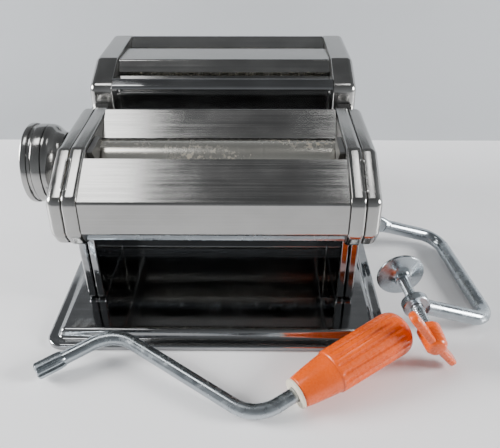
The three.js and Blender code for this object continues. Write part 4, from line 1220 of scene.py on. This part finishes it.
class PASTA_OT_inner_parts(bpy.types.Operator):
    """Give the inner plates, gears, bushes, rails and rods their finish"""

    bl_idname = "pasta.inner_parts"
    bl_label = "Inner parts"

    def execute(self, context):
        slots = {part["node"]: part["material_slot"] for part in frame["record"]["subparts"]}
        sharp = math.radians(PLAIN_SHARP)
        for name, made in frame["nodes"].items():
            if made.hide_render:
                continue
            made.data.materials.clear()
            made.data.materials.append(material_for(slots[name]))
            made.data.shade_smooth()
            made.data.set_sharp_from_angle(angle=sharp)
        return {"FINISHED"}


class PASTA_OT_stage(bpy.types.Operator):
    """Build the table, the wall, the lights and the camera"""

    bl_idname = "pasta.stage"
    bl_label = "Stage"

    def execute(self, context):
        stage = context.scene.pasta_stage
        self.surfaces()
        self.world(context.scene)
        key, fill = stage.key_power, stage.fill_power
        self.softbox("Ceiling light", (-0.3, 0.06, 0.85), (0.2, 0.24), key, (-0.3, 0.06, 0))
        self.softbox("Small light", (0.25, 0.11, 0.85), (0.06, 0.2), key * 0.25, (0.25, 0.11, 0))
        self.softbox("Left light", (-1.3, 0.05, 0.6), (0.6, 0.5), fill, (0, 0.05, 0))
        self.softbox("Right light", (1.4, -0.2, 0.6), (0.5, 0.5), fill * 0.8, (0, 0.1, 0))
        self.camera(context.scene, stage)
        return {"FINISHED"}

    def surfaces(self):
        reach, wall_foot, wall_top, wall_height = 3, 0.3, 0.34, 0.24
        table_corners = [(-reach, -reach, 0), (reach, -reach, 0), (reach, wall_foot, 0),
                         (-reach, wall_foot, 0)]
        wall_corners = [(-reach, wall_foot, 0), (reach, wall_foot, 0),
                        (reach, wall_top, wall_height), (-reach, wall_top, wall_height)]
        table_paint = stage_paint("Table paint", (0.88, 0.88, 0.89), 0.22)
        wall_paint = seen_from_front_only(stage_paint("Wall paint", (0.5, 0.52, 0.54), 0.6))
        table = self.plane("Table", table_corners, table_paint)
        wall = self.plane("Wall", wall_corners, wall_paint)

    def plane(self, name, corners, material):
        mesh = bpy.data.meshes.new(name)
        mesh.from_pydata(corners, [], [(0, 1, 2, 3)])
        mesh.materials.append(material)
        return add_object(name, mesh)

    def world(self, scene):
        """A room that is pale towards the horizon and dim overhead."""
        world = bpy.data.worlds.new("Room")
        scene.world = world
        world.use_nodes = True
        tree = world.node_tree
        place = shader_node(tree, "ShaderNodeTexCoord")
        split = shader_node(tree, "ShaderNodeSeparateXYZ")
        tree.links.new(place.outputs["Generated"], split.inputs["Vector"])
        level = spread(tree, split.outputs["Z"], 0.0, 1.0, 0.15, 0.95)
        colour = tinted(tree, level, (0.38, 0.395, 0.41), (0.14, 0.145, 0.15))
        tree.links.new(colour, tree.nodes["Background"].inputs["Color"])

    def softbox(self, name, place, size, power, target):
        light = bpy.data.lights.new(name, "AREA")
        light.shape = "RECTANGLE"
        light.size, light.size_y = size
        light.energy = power
        made = add_object(name, light)
        made.location = place
        aim = Vector(target) - Vector(place)
        made.rotation_euler = aim.to_track_quat("-Z", "Y").to_euler()

    def camera(self, scene, stage):
        data = bpy.data.cameras.new("Camera")
        data.lens = stage.lens
        data.sensor_width = SENSOR_WIDTH
        data.clip_start = NEAREST_SEEN
        made = add_object("Camera", data)
        aim = Euler((math.pi / 2 - stage.pitch, 0, CAMERA_YAW), "XYZ").to_matrix().to_4x4()
        roll = Matrix.Rotation(CAMERA_ROLL, 4, "Z")
        made.matrix_world = Matrix.Translation(CAMERA_PLACE) @ aim @ roll
        scene.camera = made


class PASTA_PT_panel(bpy.types.Panel):
    """Lists the machine's pieces and settings"""

    bl_idname = "PASTA_PT_panel"
    bl_label = "Pasta roller"
    bl_space_type = "VIEW_3D"
    bl_region_type = "UI"
    bl_category = "Pasta roller"

    def draw(self, context):
        for operator in OPERATORS:
            self.layout.operator(operator.bl_idname)
        for settings in ("pasta_finish", "pasta_sizes", "pasta_stage"):
            group = getattr(context.scene, settings)
            for name in group.__annotations__:
                self.layout.prop(group, name)


OPERATORS = (
    PASTA_OT_base,
    PASTA_OT_cheeks,
    PASTA_OT_covers,
    PASTA_OT_rollers,
    PASTA_OT_knob,
    PASTA_OT_cutter_case,
    PASTA_OT_cutter_rollers,
    PASTA_OT_crank,
    PASTA_OT_clamp,
    PASTA_OT_inner_parts,
    PASTA_OT_stage,
)
CLASSES = (FinishSettings, SizeSettings, StageSettings, *OPERATORS, PASTA_PT_panel)


def register():
    for kind in CLASSES:
        bpy.utils.register_class(kind)
    scene = bpy.types.Scene
    scene.pasta_finish = bpy.props.PointerProperty(type=FinishSettings)
    scene.pasta_sizes = bpy.props.PointerProperty(type=SizeSettings)
    scene.pasta_stage = bpy.props.PointerProperty(type=StageSettings)


def unregister():
    for name in ("pasta_finish", "pasta_sizes", "pasta_stage"):
        delattr(bpy.types.Scene, name)
    for kind in reversed(CLASSES):
        bpy.utils.unregister_class(kind)


def main():
    register()
    bpy.ops.pasta.base()
    bpy.ops.pasta.cheeks()
    bpy.ops.pasta.covers()
    bpy.ops.pasta.rollers()
    bpy.ops.pasta.knob()
    bpy.ops.pasta.cutter_case()
    bpy.ops.pasta.cutter_rollers()
    bpy.ops.pasta.crank()
    bpy.ops.pasta.clamp()
    bpy.ops.pasta.inner_parts()
    bpy.ops.pasta.stage()


if __name__ == "__main__":
    main()
